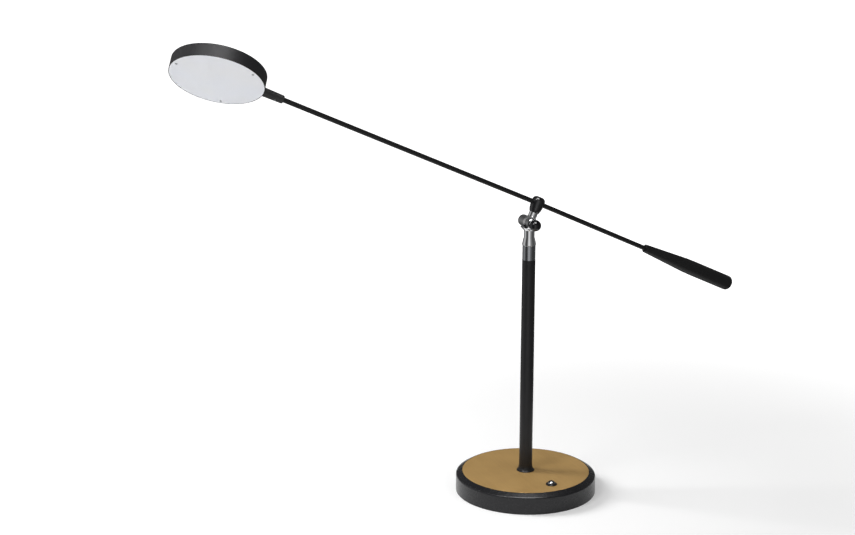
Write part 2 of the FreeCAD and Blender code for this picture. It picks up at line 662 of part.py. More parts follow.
def foot_pad():
    """Soft disc on which the lamp stands, with a hole round each screw head."""
    blank = turned("pad_blank", [
        ("0", "0"),
        ("base_radius - pad_inset", "0"),
        ("base_radius - pad_inset", "pad_thickness"),
        ("0", "pad_thickness"),
    ])
    holes = [
        cylinder(f"pad_hole_{index}", "screw_head_radius + 2 * part_gap", "plate_top", place)
        for index, place in enumerate(screw_places())
    ]
    keep(cut("pad", blank, *holes), "foot_pad", BASE)


def base_screws():
    """Pan head screws that hold the bottom plate to the weight."""
    screw = turned("bottom_screw", [
        ("0", "pad_thickness - screw_head_height"),
        ("screw_head_radius", "pad_thickness - screw_head_height"),
        ("screw_head_radius", "pad_thickness"),
        ("screw_radius", "pad_thickness"),
        ("screw_radius", "pad_thickness + screw_length"),
        ("0", "pad_thickness + screw_length"),
    ])
    rounded(screw, "screw_head_height / 3", "screw_head_radius", "pad_thickness - screw_head_height")
    keep(copies("screws", screw, screw_places()), "base_screws", BASE)


def cord_grommet():
    """Bushing in the rear wall through which the mains cord enters."""
    grommet = turned("grommet", [
        ("cord_bore", "shell_inside - shell_wall"),
        ("grommet_neck + grommet_lip", "shell_inside - shell_wall"),
        ("grommet_neck + grommet_lip", "shell_inside - 2 * part_gap"),
        ("grommet_neck", "shell_inside - 2 * part_gap"),
        ("grommet_neck", "base_radius + fit_gap"),
        ("grommet_flange", "base_radius + fit_gap"),
        ("grommet_flange", "base_radius + fit_gap + grommet_flange_thickness"),
        ("cord_bore", "base_radius + fit_gap + grommet_flange_thickness"),
    ])
    rounded(grommet, "grommet_flange_thickness / 2", "grommet_flange",
            "base_radius + fit_gap + grommet_flange_thickness")
    keep(grommet, "cord_grommet", BASE.multiply(at(z="cord_height", axis=X_AXIS, angle=-QUARTER_TURN)))


def driver():
    """Plastic case with the circuit board that feeds the lamp, standing on the bottom plate."""
    half = "driver_length / 2"
    back = "driver_back + driver_width"
    top = "bottom_top + driver_height"
    outside = box("driver_outside", (f"-{half}", "driver_back", "bottom_top"), (half, back, top))
    inside = box("driver_inside", (f"-{half} + driver_wall", "driver_back + driver_wall", "bottom_top"),
                 (f"{half} - driver_wall", f"{back} - driver_wall", f"{top} - driver_wall"))
    entry = box("driver_entry", ("-post_lead_radius - part_gap", "driver_back - driver_wall", "0"),
                ("post_lead_radius + part_gap", f"{back} + driver_wall", "bottom_top + channel_depth / 2"))
    keep(cut("driver_box", outside, inside, entry), "driver_case", BASE)
    edge = "(driver_wall + part_gap)"
    level = f"{top} - driver_wall - board_thickness"
    board = box("driver_card", (f"-{half} + {edge}", f"driver_back + {edge}", level),
                (f"{half} - {edge}", f"{back} - {edge}", f"{level} + board_thickness"))
    under = f"{level} - driver_height / 2"
    coil = box("driver_coil", (f"-{half} + 3 * {edge}", f"driver_back + 2 * {edge}", under),
               (f"-{half} + 3 * {edge} + coil_block", f"{back} - 2 * {edge}", f"{level} + board_thickness / 2"))
    can = cylinder("driver_can", "driver_height / 4", "driver_height / 2 + board_thickness / 2",
                   at(x="driver_length / 4", y="driver_back + driver_width / 2", z=under))
    keep(joined("driver_electronics", board, coil, can), "driver_board", BASE)


# ---------------------------------------------------------------- switch


def switch():
    """Push switch: bezel with threaded barrel, nut, contact block, spring and domed button."""
    bezel = turned("bezel", [
        ("barrel_bore", "barrel_bottom"),
        ("barrel_radius", "barrel_bottom"),
        ("barrel_radius", "plate_top"),
        ("bezel_radius", "plate_top"),
        ("bezel_radius", "plate_top + bezel_height"),
        ("barrel_bore", "plate_top + bezel_height"),
    ])
    rounded(bezel, "bezel_round", "bezel_radius", "plate_top + bezel_height")
    keep(bezel, "switch_bezel", SWITCH)

    nut = hexagon("switch_nut_blank", "switch_nut_flat", "switch_nut_height",
                  at(z="deck_bottom - switch_nut_height"))
    nut_bore = cylinder("switch_nut_bore", "barrel_radius + fit_gap", "plate_top")
    keep(cut("switch_nut_part", nut, nut_bore), "switch_nut", SWITCH)

    keep(turned("contact_block", [
        ("0", "barrel_bottom - contact_height"),
        ("contact_radius", "barrel_bottom - contact_height"),
        ("contact_radius", "barrel_bottom"),
        ("button_stem + part_gap", "barrel_bottom"),
        ("button_stem + part_gap", "barrel_bottom - 3 * switch_travel"),
        ("0", "barrel_bottom - 3 * switch_travel"),
    ]), "switch_contact_block", SWITCH)

    dome_foot = "plate_top + button_proud - button_dome"
    keep(turned("button", [
        ("0", "barrel_bottom - switch_travel / 2"),
        ("button_stem", "barrel_bottom - switch_travel / 2"),
        ("button_stem", "plate_top - button_skirt"),
        ("button_radius", "plate_top - button_skirt"),
        ("button_radius", dome_foot, "(button_radius ^ 2 + button_dome ^ 2) / (2 * button_dome)", 1),
        ("0", "plate_top + button_proud"),
    ]), "switch_button", SWITCH)

    rise = size("barrel_length - button_skirt - 2 * spring_wire - 2 * part_gap")
    coil = Part.makeHelix(rise / size("spring_turns"), rise, size("spring_radius"))
    coil_start = FreeCAD.Vector(size("spring_radius"), 0, 0)
    section = Part.Circle(coil_start, Y_AXIS, size("spring_wire")).toShape()
    spring = doc.addObject("Part::Feature", "spring")
    spring.Shape = Part.Wire(coil).makePipeShell([Part.Wire(section)], True, True)
    keep(spring, "switch_spring", SWITCH.multiply(at(z="barrel_bottom + spring_wire + part_gap")))


# ---------------------------------------------------------------- post


def post():
    """Flared foot, tube, and the hollow stud with plug, washer and nut that hold it to the base."""
    flare = "(foot_spread - foot_lip)"
    flare_rise = "(foot_height - foot_edge)"
    flare_radius = f"({flare} ^ 2 + {flare_rise} ^ 2) / (2 * {flare})"
    keep(turned("foot", [
        ("post_radius + fit_gap", "plate_top"),
        ("foot_radius", "plate_top"),
        ("foot_radius", "plate_top + foot_edge", flare_radius, -1),
        ("post_radius + foot_lip", "plate_top + foot_height"),
        ("post_radius + fit_gap", "plate_top + foot_height"),
    ]), "post_foot")
    keep(ring("tube", "post_bore", "post_radius", "plate_top", "post_top"), "post_tube")
    keep(ring("stud", "stud_bore", "stud_radius", "post_nut_bottom - stud_tail", "plate_top + stud_rise"),
         "post_stud")
    keep(ring("plug", "stud_radius + fit_gap", "post_bore - fit_gap", "plate_top", "plate_top + plug_height"),
         "post_plug")
    keep(ring("lock_washer", "stud_radius + fit_gap", "lock_washer_radius", "post_nut_top", "nut_seat"),
         "post_lock_washer")
    nut = hexagon("post_nut_blank", "post_nut_flat", "post_nut_height", at(z="post_nut_bottom"))
    nut_bore = cylinder("post_nut_bore", "stud_radius + fit_gap", "plate_top")
    keep(cut("post_nut_part", nut, nut_bore), "post_nut")


def ferrule():
    """Chrome sleeve on top of the post, its bush and the stop pin of the swivel."""
    blank = turned("ferrule_blank", [
        ("ferrule_bore", "spigot_bottom"),
        ("post_bore - fit_gap", "spigot_bottom"),
        ("post_bore - fit_gap", "post_top"),
        ("ferrule_radius", "post_top"),
        ("ferrule_radius", "ferrule_top - seam_chamfer"),
        ("ferrule_radius - seam_chamfer", "ferrule_top"),
        ("ferrule_bore", "ferrule_top"),
    ])
    pin_place = at(y="stop_pin_circle", z="ferrule_top - stop_pin_depth")
    pin_hole = cylinder("ferrule_pin_hole", "stop_pin_radius + fit_gap / 2", "stop_pin_depth", pin_place)
    keep(cut("ferrule_part", blank, pin_hole), "ferrule")
    pin = cylinder("pin", "stop_pin_radius", "stop_pin_depth + stop_pin_rise", pin_place)
    keep(pin, "swivel_stop_pin")
    keep(turned("bush", [
        ("nipple_radius + fit_gap", "spigot_bottom - bush_flange"),
        ("ferrule_bore + bush_wall / 2", "spigot_bottom - bush_flange"),
        ("ferrule_bore + bush_wall / 2", "spigot_bottom"),
        ("ferrule_bore - fit_gap / 2", "spigot_bottom"),
        ("ferrule_bore - fit_gap / 2", "ferrule_top"),
        ("nipple_radius + fit_gap", "ferrule_top"),
    ]), "swivel_bush")


def post_lead():
    """Two-core lead from the driver under the weight and up through the post."""
    low = "bottom_top + post_lead_radius + part_gap"
    route = [
        ("0", "driver_back + 2 * driver_wall", low),
        ("0", "0", low),
        ("0", "0", "flare_top - lead_bore"),
    ]
    keep(bar("post_cable", "post_lead_radius", route, "lead_bend"), "post_lead", BASE)


# ---------------------------------------------------------------- swivel


def swivel_bell():
    """Chrome bell that narrows to a neck and carries the fork of the tilt hinge."""
    taper_foot = "bell_bottom + bell_straight"
    taper_top = "bell_bottom + bell_straight + bell_taper"
    body = turned("bell_body", [
        ("nipple_radius + fit_gap", "bell_bottom"),
        ("bell_radius - seam_chamfer", "bell_bottom"),
        ("bell_radius", "bell_bottom + seam_chamfer"),
        ("bell_radius", taper_foot, "bell_bulge", 1),
        ("neck_radius", taper_top),
        ("neck_radius", "flare_foot"),
        ("flare_radius", "flare_top - flare_edge"),
        ("flare_radius", "flare_top"),
        ("lead_bore", "flare_top"),
        ("lead_bore", "bell_bottom + nipple_rise"),
        ("nipple_radius + fit_gap", "bell_bottom + nipple_rise"),
    ])
    rounded(body, "flare_edge / 2", "flare_radius", "flare_top")
    drum = turned("bell_drum", [
        ("0", "0"),
        ("drum_radius", "0"),
        ("drum_radius", "drum_back - drum_cap_thickness"),
        ("0", "drum_back - drum_cap_thickness"),
    ])
    drum.Placement = TO_BACK
    lug = turned("bell_lug", [
        ("0", "0"),
        ("lug_radius", "0"),
        ("lug_radius", "lug_front - edge_round"),
        ("lug_radius - edge_round", "lug_front"),
        ("0", "lug_front"),
    ])
    lug.Placement = TO_FRONT
    blank = joined("bell_blank", body, drum, lug)

    slot_start = HINGE.multiply(at(y="-fork_half", axis=X_AXIS, angle=-QUARTER_TURN))
    slot = cylinder("fork_slot", "drum_radius + eye_clearance", "2 * fork_half", slot_start)
    screw_hole = cylinder("fork_screw_hole", "screw_clear", "lug_front + knob_screw_depth + part_gap",
                          TO_BACK.multiply(at(z="-lug_front")))
    cap_hole = cylinder("fork_cap_hole", "drum_cap_spigot + fit_gap", "drum_back",
                        TO_BACK.multiply(at(z="drum_back - drum_cap_thickness - drum_cap_depth - part_gap")))
    lead_hole = cylinder("fork_lead_hole", "lead_bore", "pivot_height - bell_bottom - nipple_rise",
                         at(z="bell_bottom + nipple_rise"))
    pin_reach = math.degrees(math.asin(size("stop_pin_radius / stop_pin_circle")))
    stop_half = size("swivel_limit + stop_play") + pin_reach
    side = "(stop_pin_radius + part_gap)"
    stop_outer = cylinder("stop_outer", f"stop_pin_circle + {side}", "stop_pin_rise + part_gap",
                          at(z="bell_bottom", angle=QUARTER_TURN - stop_half), 2 * stop_half)
    stop_inner = cylinder("stop_inner", f"stop_pin_circle - {side}", "stop_pin_rise + part_gap",
                          at(z="bell_bottom"))
    stop_track = cut("stop_track", stop_outer, stop_inner)
    keep(cut("bell", blank, slot, screw_hole, cap_hole, lead_hole, stop_track), "swivel_bell")


def swivel_fasteners():
    """Hollow nipple screwed into the bell, with the washer and nut below the ferrule's bush."""
    nipple = ring("nipple", "nipple_bore", "nipple_radius", "swivel_nut_bottom - nipple_tail",
                  "bell_bottom + nipple_rise")
    keep(nipple, "swivel_nipple")
    washer = ring("spring_washer", "nipple_radius + fit_gap", "post_bore - 2 * part_gap",
                  "swivel_washer_bottom", "swivel_washer_bottom + washer_thickness")
    keep(washer, "swivel_washer")
    nut = hexagon("swivel_nut_blank", "swivel_nut_flat", "swivel_nut_height", at(z="swivel_nut_bottom"))
    nut_bore = cylinder("swivel_nut_bore", "nipple_radius + fit_gap", "pivot_height")
    keep(cut("swivel_nut_part", nut, nut_bore), "swivel_nut")


def hinge_trim():
    """Cap of the rear drum, friction washers beside the eye, and the washer behind the ball knob."""
    cap = turned("cap", [
        ("0", "drum_back - drum_cap_thickness - drum_cap_depth"),
        ("drum_cap_spigot", "drum_back - drum_cap_thickness - drum_cap_depth"),
        ("drum_cap_spigot", "drum_back - drum_cap_thickness"),
        ("drum_radius", "drum_back - drum_cap_thickness"),
        ("drum_radius", "drum_back"),
        ("0", "drum_back"),
    ])
    rounded(cap, "drum_cap_round", "drum_radius", "drum_back")
    keep(cap, "drum_cap", TO_BACK)
    washer = ring("friction_ring", "screw_clear", "washer_radius", "eye_half + face_gap",
                  "eye_half + face_gap + friction_washer")
    keep(copies("friction_rings", washer, (TO_BACK, TO_FRONT)), "friction_washers")
    knob_ring = ring("knob_ring", "screw_clear", "knob_washer_radius", "lug_front + face_gap",
                     "knob_washer_front")
    keep(knob_ring, "knob_washer", TO_FRONT)


def ball_knob():
    """Black ball with a short collar, moulded on the screw that clamps the hinge."""
    collar_meet = "knob_front - sqrt(knob_radius ^ 2 - knob_collar ^ 2)"
    keep(turned("ball", [
        ("knob_screw_radius + fit_gap", "knob_back"),
        ("knob_collar", "knob_back"),
        ("knob_collar", collar_meet, "knob_radius", 1),
        ("knob_radius", "knob_front", "knob_radius", 1),
        ("0", "knob_front + knob_radius"),
        ("0", "knob_front - knob_grip + part_gap"),
        ("knob_screw_radius + fit_gap", "knob_front - knob_grip + part_gap"),
    ]), "ball_knob", TO_FRONT)
    keep(turned("clamp_screw", [
        ("0", "0"),
        ("knob_screw_radius", "0"),
        ("knob_screw_radius", "knob_front - knob_grip + knob_screw_depth"),
        ("0", "knob_front - knob_grip + knob_screw_depth"),
    ]), "knob_screw", TO_FRONT.multiply(at(z="-knob_screw_depth")))


# ---------------------------------------------------------------- arm


def tilt_stem():
    """Chrome stem with the eye that turns between the fork's lugs."""
    eye = cylinder("stem_eye", "eye_radius", "2 * eye_half",
                   at(y="-eye_half", axis=X_AXIS, angle=-QUARTER_TURN))
    web = box("stem_web", ("-stem_radius", "-eye_half", "0"), ("stem_radius", "eye_half", "stem_start"))
    body = turned("stem_body", [
        ("0", "stem_start"),
        ("stem_radius - edge_round", "stem_start"),
        ("stem_radius", "stem_start + edge_round"),
        ("stem_radius", "stem_end"),
        ("stem_spigot", "stem_end"),
        ("stem_spigot", "stem_end + stem_spigot_length"),
        ("0", "stem_end + stem_spigot_length"),
    ])
    blank = joined("stem_blank", eye, web, body)
    screw_hole = cylinder("stem_screw_hole", "screw_clear", "4 * eye_half",
                          at(y="-2 * eye_half", axis=X_AXIS, angle=-QUARTER_TURN))
    slice_start = at(y="-wire_half", axis=X_AXIS, angle=-QUARTER_TURN)
    chamber = cylinder("stem_chamber", "wire_chamber", "2 * wire_half", slice_start)
    window_turn = at(angle=f"{QUARTER_TURN} - wire_window")
    window = cylinder("stem_window", "eye_radius + part_gap", "2 * wire_half",
                      slice_start.multiply(window_turn), "2 * wire_window")
    bore = cylinder("stem_lead_bore", "stem_bore", "stem_end + stem_spigot_length")
    keep(cut("stem", blank, screw_hole, chamber, window, bore), "tilt_stem", STEM)


def rod_bar(name, radius):
    """A bar along the arm from the weight's end to the head's, bent slightly by its load."""
    weight_end = ("-rod_weight_end * sin(weight_droop)", "0", "-rod_weight_end * cos(weight_droop)")
    return bar(name, radius, [weight_end, ("0", "0", "0"), ("0", "0", "rod_head_end")], "rod_bend")


def knuckle():
    """Black domed knuckle that holds the arm rod, and its set screw."""
    blank = turned("knuckle_blank", [
        ("0", "stem_end + stem_spigot_length + part_gap"),
        ("stem_spigot + fit_gap", "stem_end + stem_spigot_length + part_gap"),
        ("stem_spigot + fit_gap", "stem_end"),
        ("knuckle_foot", "stem_end", "knuckle_bulge", 1),
        ("knuckle_radius", "stem_end + knuckle_taper"),
        ("knuckle_radius", "knuckle_top - knuckle_dome", "knuckle_dome", 1),
        ("knuckle_radius - knuckle_dome", "knuckle_top"),
        ("0", "knuckle_top"),
    ])
    rod_hole = rod_bar("knuckle_rod_hole", "rod_seat")
    rod_hole.Placement = at(z="arm_rise", axis=Y_AXIS, angle=-QUARTER_TURN)
    screw_hole = cylinder("knuckle_screw_hole", "set_screw_radius + fit_gap", "2 * knuckle_radius",
                          at(z="arm_rise", axis=X_AXIS, angle=-QUARTER_TURN))
    bore = cylinder("knuckle_lead_bore", "stem_bore", "arm_rise")
    keep(cut("knuckle_part", blank, rod_hole, screw_hole, bore), "arm_knuckle", STEM)

    start = "rod_seat"
    end = "rod_seat + set_screw_length"
    screw = ring("grub", "0", "set_screw_radius", start, end)
    socket = hexagon("grub_socket", "set_screw_radius", "set_screw_length / 2",
                     at(z=f"{end} - set_screw_length / 2"))
    keep(cut("grub_screw", screw, socket), "knuckle_set_screw",
         ARM.multiply(at(axis=X_AXIS, angle=-QUARTER_TURN)))


def arm_rod():
    """Long thin tube with a side hole for the lead and the stop groove of the head's roll."""
    tube = cut("rod_tube", rod_bar("rod_outside", "rod_radius"), rod_bar("rod_inside", "rod_bore"))
    side_hole = cylinder("rod_side_hole_cut", "rod_side_hole", "2 * rod_radius",
                         at(axis=Y_AXIS, angle=-QUARTER_TURN))
    dog_angle = math.degrees(math.asin(size("dog_radius / (rod_radius - groove_depth)")))
    swing = size("roll_down + stop_play") + dog_angle
    half = "dog_radius + fit_gap"
    groove_outer = cylinder("groove_outer", "rod_radius + part_gap", f"2 * ({half})",
                            at(z=f"rod_head_end - dog_offset - ({half})", angle=HALF_TURN - swing), 2 * swing)
    groove_inner = cylinder("groove_inner", "rod_radius - groove_depth", f"2 * ({half})",
                            at(z=f"rod_head_end - dog_offset - ({half})"))
    groove = cut("stop_groove", groove_outer, groove_inner)
    keep(cut("rod", tube, side_hole, groove), "arm_rod", TO_HEAD)


def counterweight():
    """Tapered steel counterweight, its lock collar, and the stud that joins it to the rod."""
    keep(turned("weight_collar", [
        ("rod_seat", "collar_start"),
        ("collar_radius", "collar_start"),
        ("nose_radius", "collar_start + collar_length"),
        ("rod_seat", "collar_start + collar_length"),
    ]), "counterweight_collar", TO_WEIGHT)
    rod_hole_end = "rod_weight_end + part_gap"
    stud_hole_end = "rod_weight_end - counter_stud_grip + counter_stud_length + part_gap"
    taper_end = "nose_start + taper_length"
    keep(turned("weight_body", [
        ("rod_seat", "nose_start"),
        ("nose_radius", "nose_start"),
        ("taper_radius", taper_end),
        ("counter_radius", f"{taper_end} + swell_length"),
        ("counter_radius", "counter_end - counter_round", "counter_round", 1),
        ("counter_radius - counter_round", "counter_end"),
        ("0", "counter_end"),
        ("0", stud_hole_end),
        ("counter_stud + fit_gap", stud_hole_end),
        ("counter_stud + fit_gap", rod_hole_end),
        ("rod_seat", rod_hole_end),
    ]), "counterweight", TO_WEIGHT)
    stud = ring("weight_stud", "0", "counter_stud", "rod_weight_end - counter_stud_grip",
                "rod_weight_end - counter_stud_grip + counter_stud_length")
    keep(stud, "counterweight_stud", TO_WEIGHT)


def arm_lead():
    """Lead from the stem into the rod and along it to the head end."""
    route = [("stem_end - arm_rise", "0", "0"), ("0", "0", "0"), ("0", "0", "rod_head_end - part_gap")]
    keep(bar("arm_cable", "arm_lead_radius", route, "lead_bend"), "arm_lead", TO_HEAD)


# ---------------------------------------------------------------- head


def head_sleeve():
    """Black sleeve on the rod's end, saddled to the head, with its set screw and nut."""
    blank = turned("sleeve_blank", [
        ("rod_bore + part_gap", "sleeve_spigot_end"),
        ("sleeve_spigot", "sleeve_spigot_end"),
        ("sleeve_spigot", "head_inside"),
        ("sleeve_radius", "head_inside"),
        ("sleeve_radius - sleeve_taper", "sleeve_end"),
        ("rod_seat", "sleeve_end"),
        ("rod_seat", "rod_end_reach - part_gap"),
        ("rod_bore + part_gap", "rod_end_reach - part_gap"),
    ])
    rounded(blank, "sleeve_round", "sleeve_radius - sleeve_taper", "sleeve_end")
    saddle_place = at(x="-2 * head_radius", axis=Y_AXIS, angle=QUARTER_TURN)
    saddle_disc = cylinder("saddle_disc", "head_radius + fit_gap", "4 * head_radius", saddle_place)
    saddle_core = cylinder("saddle_core", "sleeve_spigot", "2 * head_radius")
    saddle = cut("saddle", saddle_disc, saddle_core)
    screw_hole = cylinder("sleeve_screw_hole", "dog_screw_radius + fit_gap", "2 * sleeve_radius",
                          at(z="dog_reach", axis=Y_AXIS, angle=QUARTER_TURN))
    keep(cut("sleeve", blank, saddle, screw_hole), "head_sleeve", SLEEVE)

    tip = "rod_radius - groove_depth + fit_gap"
    screw = turned("dog_screw", [
        ("0", tip),
        ("dog_radius", tip),
        ("dog_radius", "rod_seat + fit_gap"),
        ("dog_screw_radius", "rod_seat + fit_gap"),
        ("dog_screw_radius", "sleeve_radius - sleeve_taper - part_gap"),
        ("0", "sleeve_radius - sleeve_taper - part_gap"),
    ])
    keep(screw, "sleeve_set_screw", SLEEVE.multiply(at(z="dog_reach", axis=Y_AXIS, angle=QUARTER_TURN)))

    nut_start = "head_inside - sleeve_nut_height - 2 * part_gap"
    nut = hexagon("sleeve_nut_blank", "sleeve_nut_flat", "sleeve_nut_height",
                  at(z=nut_start, angle=HALF_TURN / HEX_SIDES))
    nut_bore = cylinder("sleeve_nut_bore", "sleeve_spigot + fit_gap", "head_radius")
    keep(cut("sleeve_nut_part", nut, nut_bore), "sleeve_nut", SLEEVE)


def head_shell():
    """Black round pan with a thin rim round the diffuser and a hole for the sleeve's spigot."""
    blank = turned("head_blank", [
        ("rim_inside", "-head_below"),
        ("head_radius", "-head_below"),
        ("head_radius", "head_above"),
        ("0", "head_above"),
        ("0", "head_ceiling"),
        ("head_inside", "head_ceiling"),
        ("head_inside", "-ledge_drop"),
        ("rim_inside", "-ledge_drop"),
    ])
    rounded(blank, "head_round", "head_radius", "head_above")
    hole = cylinder("head_hole", "sleeve_spigot + fit_gap", "2 * head_radius",
                    at(axis=Y_AXIS, angle=QUARTER_TURN))
    keep(cut("head_pan", blank, hole), "head_shell", HEAD)


def notch_box(name):
    """Room in the head for the sleeve's spigot and nut."""
    return box(name, ("sleeve_spigot_end - part_gap * 5", "-notch_half", "-head_radius"),
               ("2 * head_radius", "notch_half", "head_radius"))


def head_inside_parts():
    """Circuit board with light chips, and the white reflector ring with its three bosses."""
    card = ring("led_card", "0", "head_inside - part_gap", "led_board_bottom", "head_ceiling")
    keep(cut("led_card_part", card, notch_box("led_notch")), "led_board", HEAD)

    chip = box("led_chip", ("-led_width / 2", "-led_width / 2", "led_board_bottom - led_height"),
               ("led_width / 2", "led_width / 2", "led_board_bottom"))
    doc.recompute()
    places = []
    for step in range(1, round(size("led_rings")) + 1):
        for spot in around(f"leds_per_ring * {step}", f"led_ring_step * {step}"):
            places.append(spot.multiply(chip.Placement))
    keep(copies("led_group", chip, places), "led_chips", HEAD)

    outer = "head_inside - fit_gap"
    wedge = turned("reflector_wedge", [
        (f"{outer} - reflector_foot", "-ledge_drop"),
        (outer, "-ledge_drop"),
        (outer, "led_board_bottom"),
        (f"{outer} - reflector_top", "led_board_bottom"),
    ])
    places = around("diffuser_screw_count", "diffuser_screw_circle", HALF_TURN)
    lift = at(z="-ledge_drop")
    bosses = [
        cylinder(f"reflector_boss_{index}", "boss_radius", "led_board_bottom + ledge_drop", lift.multiply(place))
        for index, place in enumerate(places)
    ]
    holes = [
        cylinder(f"reflector_hole_{index}", "diffuser_screw_radius + fit_gap", "diffuser_screw_length",
                 lift.multiply(place))
        for index, place in enumerate(places)
    ]
    blank = joined("reflector_blank", wedge, *bosses)
    keep(cut("reflector", blank, notch_box("reflector_notch"), *holes), "reflector_ring", HEAD)


def diffuser():
    """Opal disc in the rim and the three screws that hold it."""
    disc = ring("diffuser_blank", "0", "rim_inside - diffuser_gap", "-diffuser_face", "-ledge_drop")
    places = around("diffuser_screw_count", "diffuser_screw_circle", HALF_TURN)
    holes = [
        cylinder(f"diffuser_hole_{index}", "diffuser_screw_radius + fit_gap", "head_radius",
                 at(z="-head_radius").multiply(place))
        for index, place in enumerate(places)
    ]
    keep(cut("diffuser_part", disc, *holes), "diffuser", HEAD)
    shank_top = "diffuser_screw_length - diffuser_thickness"
    screw = turned("diffuser_screw", [
        ("0", "-diffuser_face - diffuser_head_height"),
        ("diffuser_screw_head", "-diffuser_face - diffuser_head_height"),
        ("diffuser_screw_head", "-diffuser_face"),
        ("diffuser_screw_radius", "-diffuser_face"),
        ("diffuser_screw_radius", f"-ledge_drop + {shank_top}"),
        ("0", f"-ledge_drop + {shank_top}"),
    ])
    keep(copies("diffuser_screw_group", screw, places), "diffuser_screws", HEAD)


def head_lead():
    """Lead from the sleeve to the circuit board of the head."""
    inner_end = "sleeve_spigot_end - 4 * part_gap - lead_bend / 2"
    route = [
        ("rod_end_reach - 3 * part_gap", "0", "0"),
        (inner_end, "0", "0"),
        (inner_end, "0", "led_board_bottom - fit_gap"),
    ]
    keep(bar("head_cable", "arm_lead_radius", route, "lead_bend / 2"), "head_lead", HEAD)


BUILDERS = (
    base_shell, top_plate, base_weight, bottom_plate, foot_pad, base_screws, cord_grommet, driver, switch,
    post, ferrule, post_lead,
    swivel_bell, swivel_fasteners, hinge_trim, ball_knob,
    tilt_stem, knuckle, arm_rod, counterweight, arm_lead,
    head_sleeve, head_shell, head_inside_parts, diffuser, head_lead,
)
for make in BUILDERS:
    make()
doc.recompute()

for item in doc.Objects:
    if "Invalid" in item.State or "Error" in item.State:
        raise RuntimeError(f"{item.Label} failed: {item.State}")
for piece in pieces:
    if piece.Shape.isNull() or not piece.Shape.isValid() or not piece.Shape.Solids:
        raise RuntimeError(f"{piece.Label} has no sound solid")

os.makedirs("parts", exist_ok=True)
for piece in pieces:
    piece.Shape.exportStep(os.path.join("parts", piece.Label + ".step"))
print(len(pieces), "pieces written")
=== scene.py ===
# %% [markdown]
# # A balance-arm desk lamp
#
# The lamp stands on a heavy round base with a brass face. A black post rises from it, and at
# the top of the post a chrome hinge carries one long rod. The rod has a flat round light at
# its far end and a turned counterweight at the near one, so that the arm stays where it is put.
#
# The measured solids are already here: they come in as a fixed frame, each part a mesh of its
# own in metres. This lesson gives them their finishes, turns finer surfaces where the light
# would show a facet, and sets up the studio.

from math import atan2, cos, pi, radians, sin

import bpy
import numpy as np
from mathutils import Matrix, Vector


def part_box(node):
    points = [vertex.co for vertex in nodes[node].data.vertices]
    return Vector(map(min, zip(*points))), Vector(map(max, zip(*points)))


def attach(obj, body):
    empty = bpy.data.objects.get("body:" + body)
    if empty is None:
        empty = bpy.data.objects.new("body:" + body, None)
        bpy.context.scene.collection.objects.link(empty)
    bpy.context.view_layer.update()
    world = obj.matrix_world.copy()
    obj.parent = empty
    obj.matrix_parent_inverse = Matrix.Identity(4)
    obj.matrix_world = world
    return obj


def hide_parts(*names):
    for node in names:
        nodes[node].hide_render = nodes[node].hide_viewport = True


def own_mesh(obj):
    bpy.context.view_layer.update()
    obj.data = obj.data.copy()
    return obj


MM = 0.001

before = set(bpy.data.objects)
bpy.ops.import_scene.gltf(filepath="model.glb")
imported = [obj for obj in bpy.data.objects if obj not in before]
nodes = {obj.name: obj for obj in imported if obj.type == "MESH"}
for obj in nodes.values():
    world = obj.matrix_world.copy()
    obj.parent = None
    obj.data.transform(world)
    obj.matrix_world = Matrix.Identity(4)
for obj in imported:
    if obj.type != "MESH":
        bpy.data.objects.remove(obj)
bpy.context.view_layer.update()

# %% [markdown]
# ## The camera
#
# A long lens a couple of metres away keeps the rod straight and the round base an even
# ellipse. It looks down by fourteen degrees from the left of the lamp's front. The place and
# the two directions were worked out from the ellipses of the base and of the light.

# %% The camera
CAMERA_PLACE = Vector((-1.0293, -2.2016, 0.9374))
CAMERA_RIGHT = Vector((0.92946309, -0.36891213, 0.00148819))
CAMERA_UP = Vector((0.08771576, 0.22491191, 0.97042289))
LENS = 74.17
SENSOR_WIDTH = 36.0
NEAREST, FARTHEST = 0.05, 100.0

lens = bpy.data.cameras.new("lens")
lens.lens = LENS
lens.sensor_width = SENSOR_WIDTH
lens.clip_start = NEAREST
lens.clip_end = FARTHEST
camera = bpy.data.objects.new("camera", lens)
bpy.context.scene.collection.objects.link(camera)
backwards = CAMERA_RIGHT.cross(CAMERA_UP)
directions = Matrix((CAMERA_RIGHT, CAMERA_UP, backwards)).transposed()
camera.matrix_world = Matrix.Translation(CAMERA_PLACE) @ directions.to_4x4()
bpy.context.scene.camera = camera
bpy.context.scene.view_settings.view_transform = "Standard"
print("camera", tuple(round(v, 3) for v in camera.location), "lens", LENS)

# %% [markdown]
# ## Writing a finish as a sum
#
# A finish is a tree of small nodes. Drawn by hand it soon becomes a web, but most of it is
# arithmetic: a scratch mask times a depth, one colour faded into another. So one small class
# wraps a socket, and adding or multiplying two of them adds the Math node that does it.

